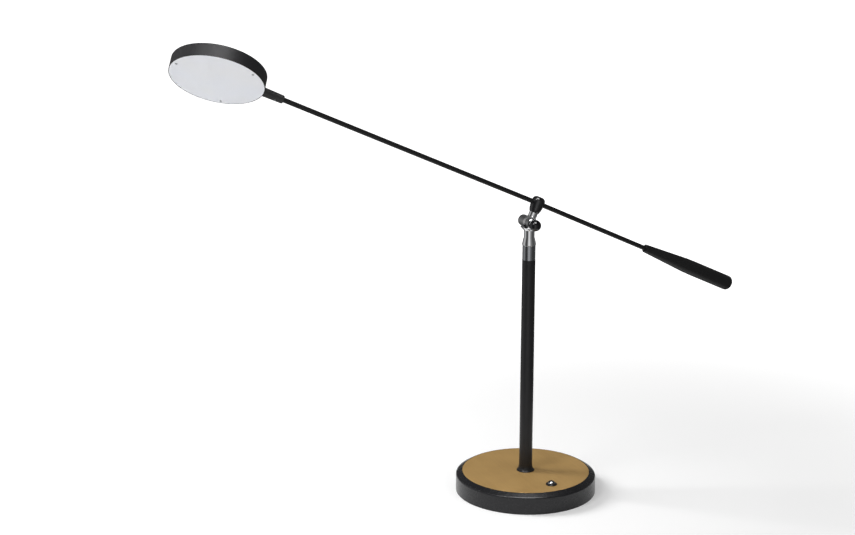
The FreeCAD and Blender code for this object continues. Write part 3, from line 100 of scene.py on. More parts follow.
# %% A socket that does arithmetic
class Wire:
    """One output socket of a finish. Arithmetic on it adds Math nodes."""

    def __init__(self, tree, socket):
        self.tree = tree
        self.socket = socket

    def node(self, kind, settings=(), sockets=(), output=0):
        """Adds a node: its settings first, then the values or links of its sockets."""
        made = self.tree.nodes.new(kind)
        for name, value in dict(settings).items():
            setattr(made, name, value)
        for name, value in dict(sockets).items():
            if isinstance(value, Wire):
                self.tree.links.new(value.socket, made.inputs[name])
            elif isinstance(value, tuple) and made.inputs[name].type == "RGBA":
                made.inputs[name].default_value = (*value, 1.0)
            else:
                made.inputs[name].default_value = value
        socket = made.outputs[output] if made.outputs else None
        return Wire(self.tree, socket)

    def maths(self, operation, *values):
        """A Math node of this operation on the values."""
        return self.node("ShaderNodeMath", {"operation": operation}, dict(enumerate(values)))

    def __add__(self, other):
        return self.maths("ADD", self, other)

    def __mul__(self, other):
        return self.maths("MULTIPLY", self, other)

    def __sub__(self, other):
        return self.maths("SUBTRACT", self, other)

    def __rsub__(self, other):
        return self.maths("SUBTRACT", other, self)

    __radd__ = __add__
    __rmul__ = __mul__

    def fade(self, low, high):
        """0 below low, 1 above high and a smooth step between them."""
        return self.node(
            "ShaderNodeMapRange",
            {"interpolation_type": "SMOOTHSTEP"},
            {"Value": self, "From Min": low, "From Max": high},
        )

    def tint(self, first, second):
        """The first colour where this is 0 and the second where it is 1."""
        return self.node(
            "ShaderNodeMix",
            {"data_type": "RGBA"},
            {0: self, 6: first, 7: second},
            output=2,
        )


print("a socket now adds up")

# %% [markdown]
# ## What every finish starts from
#
# A new finish holds one shader and the place of each point on the part, in metres. Noise on
# that place never slides when a joint turns, because it belongs to the part. A noise of scale
# 1000 has lumps one millimetre wide.

# %% The start of a finish
class Finish:
    """A material with one shader, and the patterns that real surfaces share."""

    def __init__(self, name):
        self.material = bpy.data.materials.new(name)
        self.material.use_nodes = True
        tree = self.material.node_tree
        tree.nodes.clear()
        self.start = Wire(tree, None)
        self.place = self.node("ShaderNodeTexCoord", output="Object")

    def node(self, *words, **more):
        """A node in this finish, as Wire.node adds it."""
        return self.start.node(*words, **more)

    def along(self, stretch, turn=(0.0, 0.0, 0.0)):
        """The place, turned and then stretched along each axis."""
        return self.node(
            "ShaderNodeMapping",
            {"vector_type": "POINT"},
            {"Vector": self.place, "Rotation": turn, "Scale": stretch},
        )

    def noise(self, scale, detail=3.0, rough=0.55, where=None):
        """Cloudy noise from 0 to 1, with lumps about 1 / scale metres wide."""
        return self.node(
            "ShaderNodeTexNoise",
            {"noise_dimensions": "3D"},
            {
                "Vector": where or self.place,
                "Scale": scale,
                "Detail": detail,
                "Roughness": rough,
            },
        )

    def specks(self, scale, size):
        """1 on small round specks scattered about 1 / scale metres apart, 0 between."""
        distance = self.node(
            "ShaderNodeTexVoronoi",
            {"feature": "F1"},
            {"Vector": self.place, "Scale": scale},
            output="Distance",
        )
        return 1.0 - distance.fade(size * 0.5, size)

    def bump(self, height, depth):
        """A normal from a height of 0 to 1 that is really depth metres deep."""
        sockets = {"Height": height, "Distance": depth, "Strength": 1.0}
        return self.node("ShaderNodeBump", {}, sockets)

    def shade(self, **sockets):
        """The shader itself: words are its sockets, with _ for a space."""
        named = {word.replace("_", " "): value for word, value in sockets.items()}
        shader = self.node("ShaderNodeBsdfPrincipled", {}, named)
        self.node("ShaderNodeOutputMaterial", {}, {"Surface": shader})
        return self.material


dressed = set()


def dress(finish, *names):
    """Puts a finish on the frame's own parts."""
    for name in names:
        for held in nodes[name].material_slots:
            held.material = finish
    dressed.update(names)


print("finishes can be mixed")

# %% [markdown]
# ## Black paint
#
# The base, the post, the rod and the counterweight are painted black. Sprayed paint is never
# quite flat: it dries into soft hills a millimetre or two wide, called orange peel, and takes
# a little dust. A low bump carries the hills, and the roughness rises where hands have rubbed
# the paint. The light and its sleeve have a finer, duller coat, and the knuckle a bright one.

# %% Black paint
DUST = 0.5


def black_paint(name, colour, gloss, gleam, peel, hills=620.0):
    """Sprayed enamel: hills of peel metres, a little dust and faint handling marks."""
    paint = Finish(name)
    hill = paint.noise(hills, 2.0, 0.4)
    cloud = paint.noise(38.0, 4.0, 0.6)
    grit = paint.noise(5200.0, 2.0, 0.5)
    speck = paint.specks(240.0, 0.055) * cloud.fade(0.48, 0.68)
    rubbed = paint.noise(110.0, 5.0, 0.7).fade(0.5, 0.75)
    pale = tuple(2.4 * part + 0.006 for part in colour)
    base = (speck * DUST + cloud * 0.16 + rubbed * 0.07).tint(colour, pale)
    roughness = gloss + rubbed * 0.09 + (grit - 0.5) * 0.06 + speck * 0.2
    height = hill * 0.8 + grit * 0.12 + speck * 0.3
    return paint.shade(
        Base_Color=base,
        Roughness=roughness,
        Normal=paint.bump(height, peel),
        IOR=1.47,
        Specular_IOR_Level=gleam,
    )


FINE_HILLS = 1500.0

base_paint = black_paint(
    "black_enamel_of_the_base", (0.0115, 0.0115, 0.0128), gloss=0.26, gleam=0.36, peel=0.01 * MM
)
post_paint = black_paint(
    "black_enamel_of_the_post", (0.0115, 0.0115, 0.0122), gloss=0.33, gleam=0.24, peel=0.008 * MM
)
rod_paint = black_paint(
    "black_enamel_of_the_rod",
    (0.0095, 0.0095, 0.0098),
    gloss=0.34,
    gleam=0.2,
    peel=0.01 * MM,
    hills=900.0,
)
weight_paint = black_paint(
    "black_enamel_of_the_weight", (0.009, 0.009, 0.0093), gloss=0.38, gleam=0.25, peel=0.01 * MM
)
knuckle_paint = black_paint(
    "black_enamel_of_the_knuckle", (0.007, 0.007, 0.0076), gloss=0.13, gleam=0.6, peel=0.01 * MM
)
head_paint = black_paint(
    "black_satin_of_the_light",
    (0.0125, 0.0125, 0.0135),
    gloss=0.45,
    gleam=0.24,
    peel=0.012 * MM,
    hills=FINE_HILLS,
)
sleeve_paint = black_paint(
    "black_satin_of_the_sleeve",
    (0.019, 0.019, 0.0195),
    gloss=0.4,
    gleam=0.36,
    peel=0.012 * MM,
    hills=FINE_HILLS,
)

dress(base_paint, "base_shell")
dress(post_paint, "post_tube", "post_foot")
dress(rod_paint, "arm_rod")
dress(weight_paint, "counterweight", "counterweight_collar")
dress(knuckle_paint, "arm_knuckle")
dress(head_paint, "head_shell")
dress(sleeve_paint, "head_sleeve")
print("dressed with the black paints:", len(dressed))

# %% [markdown]
# ## Brass
#
# The face of the base is a thin brass sheet, brushed and lacquered. Brushing leaves hair-fine
# lines that all run one way. They are noise squeezed across the lines and drawn out along
# them, and they feed the height as well as the roughness, so that highlights spread sideways.
# The bush inside the swivel is turned from the same metal, and never lacquered.

# %% Brass
BRUSHED_WAY = radians(-68.0)
TARNISH = (0.09, 0.055, 0.02)


def brass(name, colour, dark, rough, turn, depth):
    """Brushed brass: drawn-out noise for the lines, cloudy tarnish for the colour."""
    metal = Finish(name)
    lines = metal.noise(1.0, 4.0, 0.65, metal.along((5200.0, 36.0, 36.0), (0.0, 0.0, turn)))
    broad = metal.noise(1.0, 3.0, 0.6, metal.along((700.0, 9.0, 9.0), (0.0, 0.0, turn)))
    cloud = metal.noise(26.0, 5.0, 0.62)
    spot = metal.specks(330.0, 0.05) * metal.noise(70.0, 2.0).fade(0.55, 0.7)
    shade = cloud * 0.5 + broad * 0.35 + lines * 0.15
    base = shade.fade(0.3, 0.7).tint(dark, colour)
    return metal.shade(
        Base_Color=(spot * 0.5).tint(base, TARNISH),
        Metallic=0.45,
        Roughness=rough + (lines - 0.5) * 0.2 + (cloud - 0.5) * 0.1,
        Normal=metal.bump(lines + broad * 0.3, depth),
    )


face_brass = brass(
    "brass_of_the_face",
    (0.585, 0.37, 0.138),
    dark=(0.5, 0.31, 0.11),
    rough=0.5,
    turn=BRUSHED_WAY,
    depth=0.01 * MM,
)
bush_brass = brass(
    "brass_of_the_bush",
    (0.55, 0.4, 0.17),
    dark=(0.4, 0.28, 0.11),
    rough=0.33,
    turn=0.0,
    depth=0.006 * MM,
)
dress(face_brass, "top_plate")
dress(bush_brass, "swivel_bush")
print("dressed, with the brass:", len(dressed))

# %% [markdown]
# ## Chrome
#
# The hinge is chromed and reflects the studio like a mirror, so its look is mostly what
# stands around it. What the metal itself adds is small: polishing haze, a few fingerprints
# and fine scratches. The cap of the switch is plated thinner, so it is darker and softer.

# %% Chrome
def chrome(name, colour, rough):
    """Polished plating with haze, prints and a trace of waviness."""
    plate = Finish(name)
    cloud = plate.noise(90.0, 4.0, 0.6)
    print_mark = plate.noise(300.0, 6.0, 0.75).fade(0.55, 0.75) * cloud.fade(0.45, 0.7)
    scratch = plate.noise(1.0, 2.0, 0.5, plate.along((2600.0, 1700.0, 150.0), (0.3, 0.5, 0.2)))
    dull = tuple(0.86 * part for part in colour)
    return plate.shade(
        Base_Color=(print_mark * 0.7 + cloud * 0.2).tint(colour, dull),
        Metallic=1.0,
        Roughness=rough + print_mark * 0.05 + (scratch - 0.5) * 0.03,
        Normal=plate.bump(cloud * 3.0 + scratch * 0.3, 0.002 * MM),
    )


hinge_chrome = chrome("bright_chrome_of_the_hinge", (0.72, 0.725, 0.735), rough=0.07)
cap_chrome = chrome("bright_chrome_of_the_switch", (0.34, 0.345, 0.36), rough=0.14)
dress(hinge_chrome, "swivel_bell", "drum_cap", "tilt_stem", "knob_washer")
dress(cap_chrome, "switch_button")
print("dressed, with the chrome:", len(dressed))

# %% [markdown]
# ## The collar
#
# The collar under the hinge comes from the lathe and is plated without polishing, so fine
# rings lie round it and it is darker than the hinge. Rings are noise that changes quickly
# along the post and hardly at all across it.

# %% The collar
RINGS = 4200.0


def turned_metal(name, colour, rough, depth):
    """Metal left from the lathe: rings at equal steps along the post's axis."""
    metal = Finish(name)
    rings = metal.noise(1.0, 3.0, 0.6, metal.along((60.0, 60.0, RINGS)))
    cloud = metal.noise(120.0, 4.0, 0.6)
    dull = tuple(0.78 * part for part in colour)
    return metal.shade(
        Base_Color=(cloud * 0.5 + rings * 0.5).tint(dull, colour),
        Metallic=1.0,
        Roughness=rough + (rings - 0.5) * 0.16 + (cloud - 0.5) * 0.08,
        Normal=metal.bump(rings, depth),
    )


collar_chrome = turned_metal(
    "smoke_chrome_of_the_collar", (0.34, 0.35, 0.37), rough=0.2, depth=0.003 * MM
)
dress(collar_chrome, "ferrule")
print("dressed, with the collar:", len(dressed))

# %% [markdown]
# ## Plated steel and springs
#
# Nuts, studs and washers are zinc-plated: grey, a little blue, with blotches where the
# plating is thicker. Spring steel gets the same treatment in a darker grey.

# %% Plated steel
def plated_steel(name, colour, rough):
    """Zinc-plated steel: blotches, fine grain and some duller patches."""
    steel = Finish(name)
    blotch = steel.noise(260.0, 5.0, 0.65)
    grain = steel.noise(3800.0, 3.0, 0.6)
    dull = tuple(0.7 * part for part in colour)
    return steel.shade(
        Base_Color=(blotch * 0.7 + grain * 0.3).fade(0.3, 0.7).tint(dull, colour),
        Metallic=1.0,
        Roughness=rough + (blotch - 0.5) * 0.2,
        Normal=steel.bump(grain * 0.6 + blotch * 0.4, 0.01 * MM),
    )


zinc = plated_steel("plated_steel_of_the_fasteners", (0.52, 0.53, 0.55), rough=0.34)
spring_steel = plated_steel("spring_steel", (0.42, 0.42, 0.43), rough=0.3)
dress(
    zinc,
    "post_stud",
    "post_lock_washer",
    "post_nut",
    "post_plug",
    "bottom_plate",
    "base_screws",
    "swivel_stop_pin",
    "swivel_nipple",
    "swivel_nut",
    "knob_screw",
    "knuckle_set_screw",
    "counterweight_stud",
    "sleeve_set_screw",
    "sleeve_nut",
    "switch_nut",
    "diffuser_screws",
)
dress(spring_steel, "switch_spring", "swivel_washer")
print("dressed, with the steel:", len(dressed))

# %% [markdown]
# ## Cast iron
#
# The weight in the base is cast in sand: dark, grainy and pitted, with a little rust in the
# pits. Nobody sees it, so it isn't painted.

# %% Cast iron
def cast_iron(name):
    """Rough sand-cast iron with pits and a little rust in them."""
    iron = Finish(name)
    grain = iron.noise(1500.0, 5.0, 0.7)
    lump = iron.noise(180.0, 4.0, 0.6)
    pit = iron.specks(420.0, 0.2)
    rust = pit * lump.fade(0.45, 0.65)
    base = (grain * 0.6 + lump * 0.4).tint((0.06, 0.058, 0.056), (0.15, 0.148, 0.145))
    return iron.shade(
        Base_Color=(rust * 0.6).tint(base, (0.11, 0.05, 0.025)),
        Metallic=0.7,
        Roughness=0.62 + grain * 0.2,
        Normal=iron.bump(grain * 0.6 + lump - pit * 0.6, 0.12 * MM),
    )


dress(cast_iron("cast_iron_of_the_weight"), "base_weight")
print("dressed, with the iron:", len(dressed))

# %% [markdown]
# ## Plastics, rubber and card
#
# Moulded parts take the texture of the mould: matt plastics are finely pitted, the round
# knob is polished, and the rubber of the feet is dull and mottled.

# %% Plastics, rubber and card
def moulded(name, colour, rough, grain=2200.0, depth=0.02 * MM, mottle=0.12, **constants):
    """A moulded plastic or rubber: pitted by its mould, darker by mottle in clouds."""
    stuff = Finish(name)
    pits = stuff.noise(grain, 3.0, 0.6)
    cloud = stuff.noise(75.0, 4.0, 0.6)
    dark = tuple((1.0 - mottle) * part for part in colour)
    return stuff.shade(
        Base_Color=(cloud * 0.7 + pits * 0.3).fade(0.25, 0.75).tint(dark, colour),
        Roughness=rough + (cloud - 0.5) * 0.14 + (pits - 0.5) * 0.08,
        Normal=stuff.bump(pits, depth),
        **constants,
    )


knob_plastic = moulded(
    "black_of_the_knob",
    (0.006, 0.0058, 0.0075),
    rough=0.07,
    grain=900.0,
    depth=0.002 * MM,
    mottle=0.3,
    Specular_IOR_Level=0.42,
)
foot_rubber = moulded(
    "rubber_of_the_feet",
    (0.022, 0.022, 0.022),
    rough=0.78,
    grain=1500.0,
    depth=0.08 * MM,
    mottle=0.4,
)
washer_fibre = moulded(
    "fibre_of_the_washers", (0.23, 0.1, 0.05), rough=0.7, grain=1900.0, depth=0.05 * MM
)
dress(knob_plastic, "ball_knob")
dress(foot_rubber, "foot_pad", "cord_grommet")
dress(washer_fibre, "friction_washers")
dress(moulded("black_of_the_switch", (0.012, 0.012, 0.013), 0.22), "switch_bezel")
dress(moulded("white_of_the_leads", (0.68, 0.68, 0.66), 0.5), "arm_lead", "head_lead", "post_lead")
dress(moulded("casing_of_the_driver", (0.7, 0.7, 0.67), 0.55), "driver_case")
dress(moulded("insulation_of_the_switch", (0.56, 0.53, 0.44), 0.5), "switch_contact_block")
dress(moulded("white_of_the_reflector", (0.84, 0.84, 0.83), 0.6), "reflector_ring")
dress(moulded("white_of_the_board", (0.8, 0.8, 0.79), 0.42), "led_board")
print("dressed, with the plastics:", len(dressed))

# %% [markdown]
# ## The face of the light
#
# The face of the light is opal acrylic, lightly frosted. It lets a little light in and
# scatters it, so it looks milky rather than painted, and a weak subsurface does that.

# %% Opal acrylic
def opal_sheet(name, colour):
    """Frosted acrylic: a very fine frost, faint clouds and light scattered inside."""
    sheet = Finish(name)
    frost = sheet.noise(4200.0, 2.0, 0.5)
    cloud = sheet.noise(14.0, 3.0, 0.5)
    dust = sheet.specks(170.0, 0.03) * sheet.noise(60.0, 2.0).fade(0.55, 0.7)
    warm = (colour[0] * 1.01, colour[1] * 0.995, colour[2] * 0.965)
    base = cloud.fade(0.3, 0.7).tint(colour, warm)
    return sheet.shade(
        Base_Color=(dust * 0.35).tint(base, (0.3, 0.29, 0.28)),
        Roughness=0.42 + (frost - 0.5) * 0.2,
        Normal=sheet.bump(frost, 0.006 * MM),
        Subsurface_Weight=0.25,
        Subsurface_Radius=(4.0 * MM, 4.0 * MM, 4.5 * MM),
    )


dress(opal_sheet("opal_of_the_light", (0.78, 0.8, 0.85)), "diffuser")
print("dressed, with the opal:", len(dressed))

# %% [markdown]
# ## Chips and circuit board
#
# Behind the opal sit the yellow chips, phosphor under clear silicone, and a clear coat stands
# for the silicone. The driver in the base has a green board, where a brick pattern is a quick
# way to get tracks at right angles.

# %% Chips and circuit board
def chip_yellow(name):
    """Phosphor under clear silicone: two grainy yellows under a coat."""
    chip = Finish(name)
    grain = chip.noise(3000.0, 3.0)
    return chip.shade(
        Base_Color=grain.tint((0.72, 0.5, 0.08), (0.86, 0.7, 0.2)),
        Roughness=0.3 + grain * 0.1,
        Normal=chip.bump(grain, 0.01 * MM),
        Coat_Weight=0.5,
    )


def board_green(name):
    """Solder mask over copper tracks that run at right angles."""
    board = Finish(name)
    cells = board.node(
        "ShaderNodeTexBrick",
        {"offset": 0.5},
        {"Vector": board.place, "Scale": 90.0, "Mortar Size": 0.03},
        output="Fac",
    )
    grain = board.noise(1600.0, 3.0)
    base = cells.tint((0.015, 0.12, 0.05), (0.03, 0.24, 0.1))
    return board.shade(
        Base_Color=(grain * 0.25).tint(base, (0.01, 0.08, 0.03)),
        Roughness=0.34 + grain * 0.12,
        Normal=board.bump(cells + grain * 0.1, 0.03 * MM),
    )


dress(chip_yellow("phosphor_of_the_chips"), "led_chips")
dress(board_green("green_of_the_board"), "driver_board")
print("parts still without a finish:", sorted(set(nodes) - dressed))

# %% [markdown]
# ## Turned surfaces
#
# A ball, a screw's head or a cap is a line carried round an axis. Facets would show in such
# small glossy pieces, so their surfaces are worked out anew with many steps. A function can
# move the radii and heights on the way round, which is how a recess or a mould's line gets in.

# %% A turned surface
def new_object(name, points, faces, finish, smooth=True):
    """A mesh object at the origin, with its place in its points."""
    mesh = bpy.data.meshes.new(name)
    mesh.from_pydata(points.tolist(), [], faces)
    mesh.polygons.foreach_set("use_smooth", np.full(len(faces), smooth))
    mesh.materials.append(finish)
    mesh.update()
    made = bpy.data.objects.new(name, mesh)
    bpy.context.scene.collection.objects.link(made)
    return made


def turned_surface(name, radii, heights, centre, axis, steps, swell, finish):
    """A line of radii and heights carried once round an axis.

    A point is centre + axis * height + radius * (side * cos(turn) + up * sin(turn)).
    swell(turn, radius, height) moves the radii and heights; the line starts and ends on
    the axis, where its points are merged into one.
    """
    axis = np.array(axis) / np.linalg.norm(axis)
    side = np.cross(axis, (0.0, 0.0, 1.0))
    if np.linalg.norm(side) < 0.1:
        side = np.cross(axis, (0.0, 1.0, 0.0))
    side = side / np.linalg.norm(side)
    up = np.cross(axis, side)
    turns = np.arange(steps) * 2 * pi / steps
    radius = np.repeat(np.array(radii)[1:-1, None], steps, axis=1)
    height = np.repeat(np.array(heights)[1:-1, None], steps, axis=1)
    radius, height = swell(turns[None, :], radius, height)
    round_it = np.cos(turns)[None, :, None] * side + np.sin(turns)[None, :, None] * up
    points = np.array(centre) + height[..., None] * axis + radius[..., None] * round_it
    rows = points.shape[0]
    ends = np.array(centre) + np.array([[heights[0]], [heights[-1]]]) * axis
    here = np.arange(steps)
    there = (here + 1) % steps
    low = (np.arange(rows - 1) * steps)[:, None]
    quads = np.stack((low + here, low + there, low + steps + there, low + steps + here), -1)
    first, last = rows * steps, rows * steps + 1
    cap = np.column_stack((np.full(steps, first), there, here))
    top = (rows - 1) * steps
    lid = np.column_stack((np.full(steps, last), top + here, top + there))
    faces = quads.reshape(-1, 4).tolist() + cap.tolist() + lid.tolist()
    print(name, len(faces), "faces")
    return new_object(name, np.vstack((points.reshape(-1, 3), ends)), faces, finish)


print("lines can be turned")

# %% [markdown]
# ## The round knob
#
# The black ball that clamps the hinge is moulded round its screw. The mould closes along the
# screw, so a hair-fine line runs over both sides of the ball, and where the mould was fed
# there is a shallow dimple in the middle of the front. Its line is most of a circle, then a
# short collar with a softened edge.

# %% The round knob
BALL_RADIUS = 8.19 * MM
BALL_CENTRE = -19.9 * MM
COLLAR_RADIUS = 4.4 * MM
COLLAR_BACK = -11.9 * MM
COLLAR_EDGE = 0.25 * MM
HINGE_HEIGHT = 399.0 * MM
LINE_WIDTH, LINE_PROUD = 0.09 * MM, 0.0012
DIMPLE_WIDTH, DIMPLE_DEPTH = 0.9 * MM, 0.12 * MM


def ball_line():
    """From the front pole round the ball to the collar, and in to the axis at its back."""
    join = np.arcsin(COLLAR_RADIUS / BALL_RADIUS)
    angle = np.linspace(0.0, pi - join, 90)
    radii = BALL_RADIUS * np.sin(angle)
    heights = BALL_CENTRE - BALL_RADIUS * np.cos(angle)
    collar = (
        (COLLAR_RADIUS, heights[-1] + 0.1 * MM),
        (COLLAR_RADIUS, COLLAR_BACK - COLLAR_EDGE),
        (COLLAR_RADIUS - COLLAR_EDGE * 0.3, COLLAR_BACK - COLLAR_EDGE * 0.3),
        (COLLAR_RADIUS - COLLAR_EDGE, COLLAR_BACK),
        (0.0, COLLAR_BACK),
    )
    return np.vstack((np.column_stack((radii, heights)), collar)).T


def mould_marks(turn, radius, height):
    """The mould's line: the ball a little proud where |sin(turn)| * radius is near 0.

    The dimple sinks the front by depth * exp(-(radius / width) ** 2).
    """
    off_line = np.abs(np.sin(turn)) * radius
    line = np.exp(-((off_line / LINE_WIDTH) ** 2)) * (radius > 0.5 * MM)
    front = np.exp(-((radius / DIMPLE_WIDTH) ** 2)) * (height < BALL_CENTRE)
    return radius * (1.0 + LINE_PROUD * line), height + DIMPLE_DEPTH * front


knob = turned_surface(
    "knob_of_the_hinge",
    *ball_line(),
    centre=(0.0, 0.0, HINGE_HEIGHT),
    axis=(0.0, 1.0, 0.0),
    steps=240,
    swell=mould_marks,
    finish=knob_plastic,
)
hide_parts("ball_knob")
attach(knob, "knob")

# %% [markdown]
# ## What makes a screw
#
# Three small pan-head screws hold the face of the light, and four larger ones the bottom of
# the base. What tells a screw from a rivet is its cross recess, so the heads are surfaces
# whose height falls away inside a cross: the smaller of |x| and |y| says how near a point is
# to the cross's middle lines, and the radius how near to the end of its arms.

# %% A screw's line and its recess
FLAT_SHARE, DOME_SHARE, RIM_SHARE = 0.86, 0.32, 0.99
TIP_START, TIP_SHARE = 0.94, 0.75


def cross_recess(head, depth, arm, reach):
    """Sinks a head within arm of either middle line and within reach of the centre."""

    def sink(turn, radius, height):
        x, y = radius * np.cos(turn), radius * np.sin(turn)
        near = np.minimum(np.abs(x), np.abs(y))
        across = np.clip((arm - near) / (0.35 * arm), 0.0, 1.0)
        along = np.clip((reach - radius) / (0.3 * reach), 0.0, 1.0)
        on_top = height < head * 0.98
        return radius, height + depth * across * along * on_top

    return sink


def screw_line(radius, head, shank, length):
    """A domed head from its middle, its rounded rim, its seat, and the shank to its end."""
    out = np.linspace(0.0, 1.0, 26)
    dome = DOME_SHARE * head
    bend = np.linspace(0.0, pi / 2, 7)[1:]
    rim_r = radius * (FLAT_SHARE + (1.0 - FLAT_SHARE) * np.sin(bend))
    rim_h = dome + (head * RIM_SHARE - dome) * (1.0 - np.cos(bend))
    end = head + length
    radii = [*(radius * FLAT_SHARE * out), *rim_r, radius, shank, shank, shank * TIP_SHARE, 0.0]
    heights = [*(dome * out**2), *rim_h, head, head, head + length * TIP_START, end, end]
    return np.array(radii), np.array(heights)


def joined_into(name, parts):
    """One mesh object from several, each with its place in its points."""
    for part in bpy.context.selected_objects:
        part.select_set(False)
    for part in parts:
        part.select_set(True)
    bpy.context.view_layer.objects.active = parts[0]
    bpy.ops.object.join()
    parts[0].name = name
    return parts[0]


print("screws can be made")

# %% [markdown]
# ## The screws under the base
#
# Four screws hold the bottom plate to the iron weight, one in each quarter of the circle.
# Their heads sit in the foot pad, so they show only when the lamp is turned over. The box of
# the frame's own screws gives their places.

# %% The screws under the base
BASE_HEAD = 1.5 * MM
BASE_SCREW = dict(radius=3.65 * MM, head=BASE_HEAD, shank=1.95 * MM, length=10.0 * MM)
BASE_RECESS = dict(head=BASE_HEAD, depth=1.0 * MM, arm=0.62 * MM, reach=2.3 * MM)
FRAME_HEAD_RADIUS = 3.7 * MM

low_corner, high_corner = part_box("base_screws")
offset = high_corner.x - FRAME_HEAD_RADIUS
base_screws = [
    turned_surface(
        f"base_screw_{index}",
        *screw_line(**BASE_SCREW),
        centre=(right * offset, back * offset, low_corner.z),
        axis=(0.0, 0.0, 1.0),
        steps=96,
        swell=cross_recess(**BASE_RECESS),
        finish=zinc,
    )
    for index, (right, back) in enumerate(((1, 1), (-1, 1), (-1, -1), (1, -1)))
]
under_screws = joined_into("screws_under_the_base", base_screws)
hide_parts("base_screws")
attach(under_screws, "base")
print(len(base_screws), "screws under the base")

# %% [markdown]
# ## The screws of the light's face
#
# The light is tilted and rolled, so its screws stand on no axis of the room. The flattest
# direction of the face's own points is the way in, which a singular value decomposition
# gives. The frame's screws, seen along that way, then fall into three groups by their turn.

# %% The screws of the light's face
FACE_HEAD = 0.48 * MM
FACE_SCREW = dict(head=FACE_HEAD, shank=1.0 * MM, length=6.5 * MM)
FACE_RECESS = dict(head=FACE_HEAD, depth=0.4 * MM, arm=0.3 * MM, reach=1.1 * MM)
HEAD_SHARE = 0.985
APART = 20.0


def points_of(node):
    """The points of a frame's part, one row each."""
    mesh = nodes[node].data
    points = np.empty(len(mesh.vertices) * 3)
    mesh.vertices.foreach_get("co", points)
    return points.reshape(-1, 3)


face_points = points_of("diffuser")
face_middle = face_points.mean(axis=0)
inward = np.linalg.svd(face_points - face_middle, full_matrices=False)[2][2]
inward = inward * np.sign(inward[2])
across = np.cross(inward, (0.0, 1.0, 0.0))
across = across / np.linalg.norm(across)
along = np.cross(inward, across)
flat_points = (points_of("diffuser_screws") - face_middle) @ np.column_stack((across, along, inward))
turns = np.degrees(np.arctan2(flat_points[:, 1], flat_points[:, 0]))
order = np.argsort(turns)
gaps = np.flatnonzero(np.diff(turns[order]) > APART) + 1
made_screws = []
for index, group in enumerate(np.split(order, gaps)):
    low, high = flat_points[group].min(axis=0), flat_points[group].max(axis=0)
    middle = (low + high) / 2
    spot = face_middle + middle[0] * across + middle[1] * along + low[2] * inward
    made_screws.append(
        turned_surface(
            f"face_screw_{index}",
            *screw_line(radius=(high[0] - low[0]) / 2 * HEAD_SHARE, **FACE_SCREW),
            centre=spot,
            axis=inward,
            steps=72,
            swell=cross_recess(**FACE_RECESS),
            finish=zinc,
        )
    )
face_screws = joined_into("screws_of_the_face", made_screws)
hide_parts("diffuser_screws")
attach(face_screws, "head")
print(len(made_screws), "screws in the face")

# %% [markdown]
# ## The spring under the switch
#
# A coil spring lifts the button. Its wire climbs evenly except at both ends, where the turns
# close up so that the spring stands straight. It is held by the base rather than by the
# button, and gets a mesh of its own.

# %% The spring under the switch
def coil(name, centre, radius, wire, low, high, turns, finish, around=14, per_turn=48):
    """A ring of points carried along a climbing circle.

    The middle of the wire is centre + radius * (cos a, sin a). Its height goes from low to
    high by the share t - sin(2 pi t) / (4 pi) of the way, which climbs slower at both ends.
    """
    share = np.linspace(0.0, 1.0, int(turns * per_turn) + 1)
    turn = share * turns * 2 * pi
    climb = share - np.sin(2 * pi * share) / (4 * pi)
    outward = np.column_stack((np.cos(turn), np.sin(turn), np.zeros(share.size)))
    middle = np.array((*centre, 0.0)) + radius * outward
    middle[:, 2] = low + (high - low) * climb
    onward = np.gradient(middle, axis=0)
    onward = onward / np.linalg.norm(onward, axis=1)[:, None]
    upward = np.cross(onward, outward)
    angle = np.arange(around) * 2 * pi / around
    ring = np.cos(angle)[None, :, None] * outward[:, None, :]
    ring = ring + np.sin(angle)[None, :, None] * upward[:, None, :]
    points = (middle[:, None, :] + wire * ring).reshape(-1, 3)
    here = np.arange(around)
    there = (here + 1) % around
    row = (np.arange(share.size - 1) * around)[:, None]
    quads = np.stack((row + here, row + there, row + around + there, row + around + here), -1)
    end = (share.size - 1) * around
    faces = quads.reshape(-1, 4).tolist() + [here[::-1].tolist(), (end + here).tolist()]
    return new_object(name, points, faces, finish)


SPRING_WIRE = 0.3 * MM
SPRING_ROOM = 0.002 * MM
spring_low, spring_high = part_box("switch_spring")
spring_middle = (spring_low + spring_high) / 2
spring_coil = coil(
    "coil_under_the_button",
    centre=(spring_middle.x, spring_middle.y),
    radius=(spring_high.x - spring_low.x) / 2 - SPRING_WIRE - SPRING_ROOM,
    wire=SPRING_WIRE,
    low=spring_low.z + SPRING_WIRE,
    high=spring_high.z - SPRING_WIRE,
    turns=5.0,
    finish=spring_steel,
)
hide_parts("switch_spring")
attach(spring_coil, "base")
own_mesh(spring_coil)
print("spring", len(spring_coil.data.polygons), "faces")

# %% [markdown]
# ## The floor
#
# A pale floor under soft light, as in a catalogue. It is a wide flat disc whose rings widen
# outwards. Its own colour and the lamps make it nearly white, and for the camera it glows just
# enough to reach white, so the lamp's soft shadow stays on it. From below it is clear, so
# that the underside of the base can be seen.

# %% The floor
FLOOR_RADIUS, FLOOR_RINGS, FLOOR_SPOKES = 9.0, 24, 96
FLOOR_GLOW, FAR_GLOW = 0.22, 0.8
LIT_PAPER, GLOWING_PAPER = 0.35, 1.6


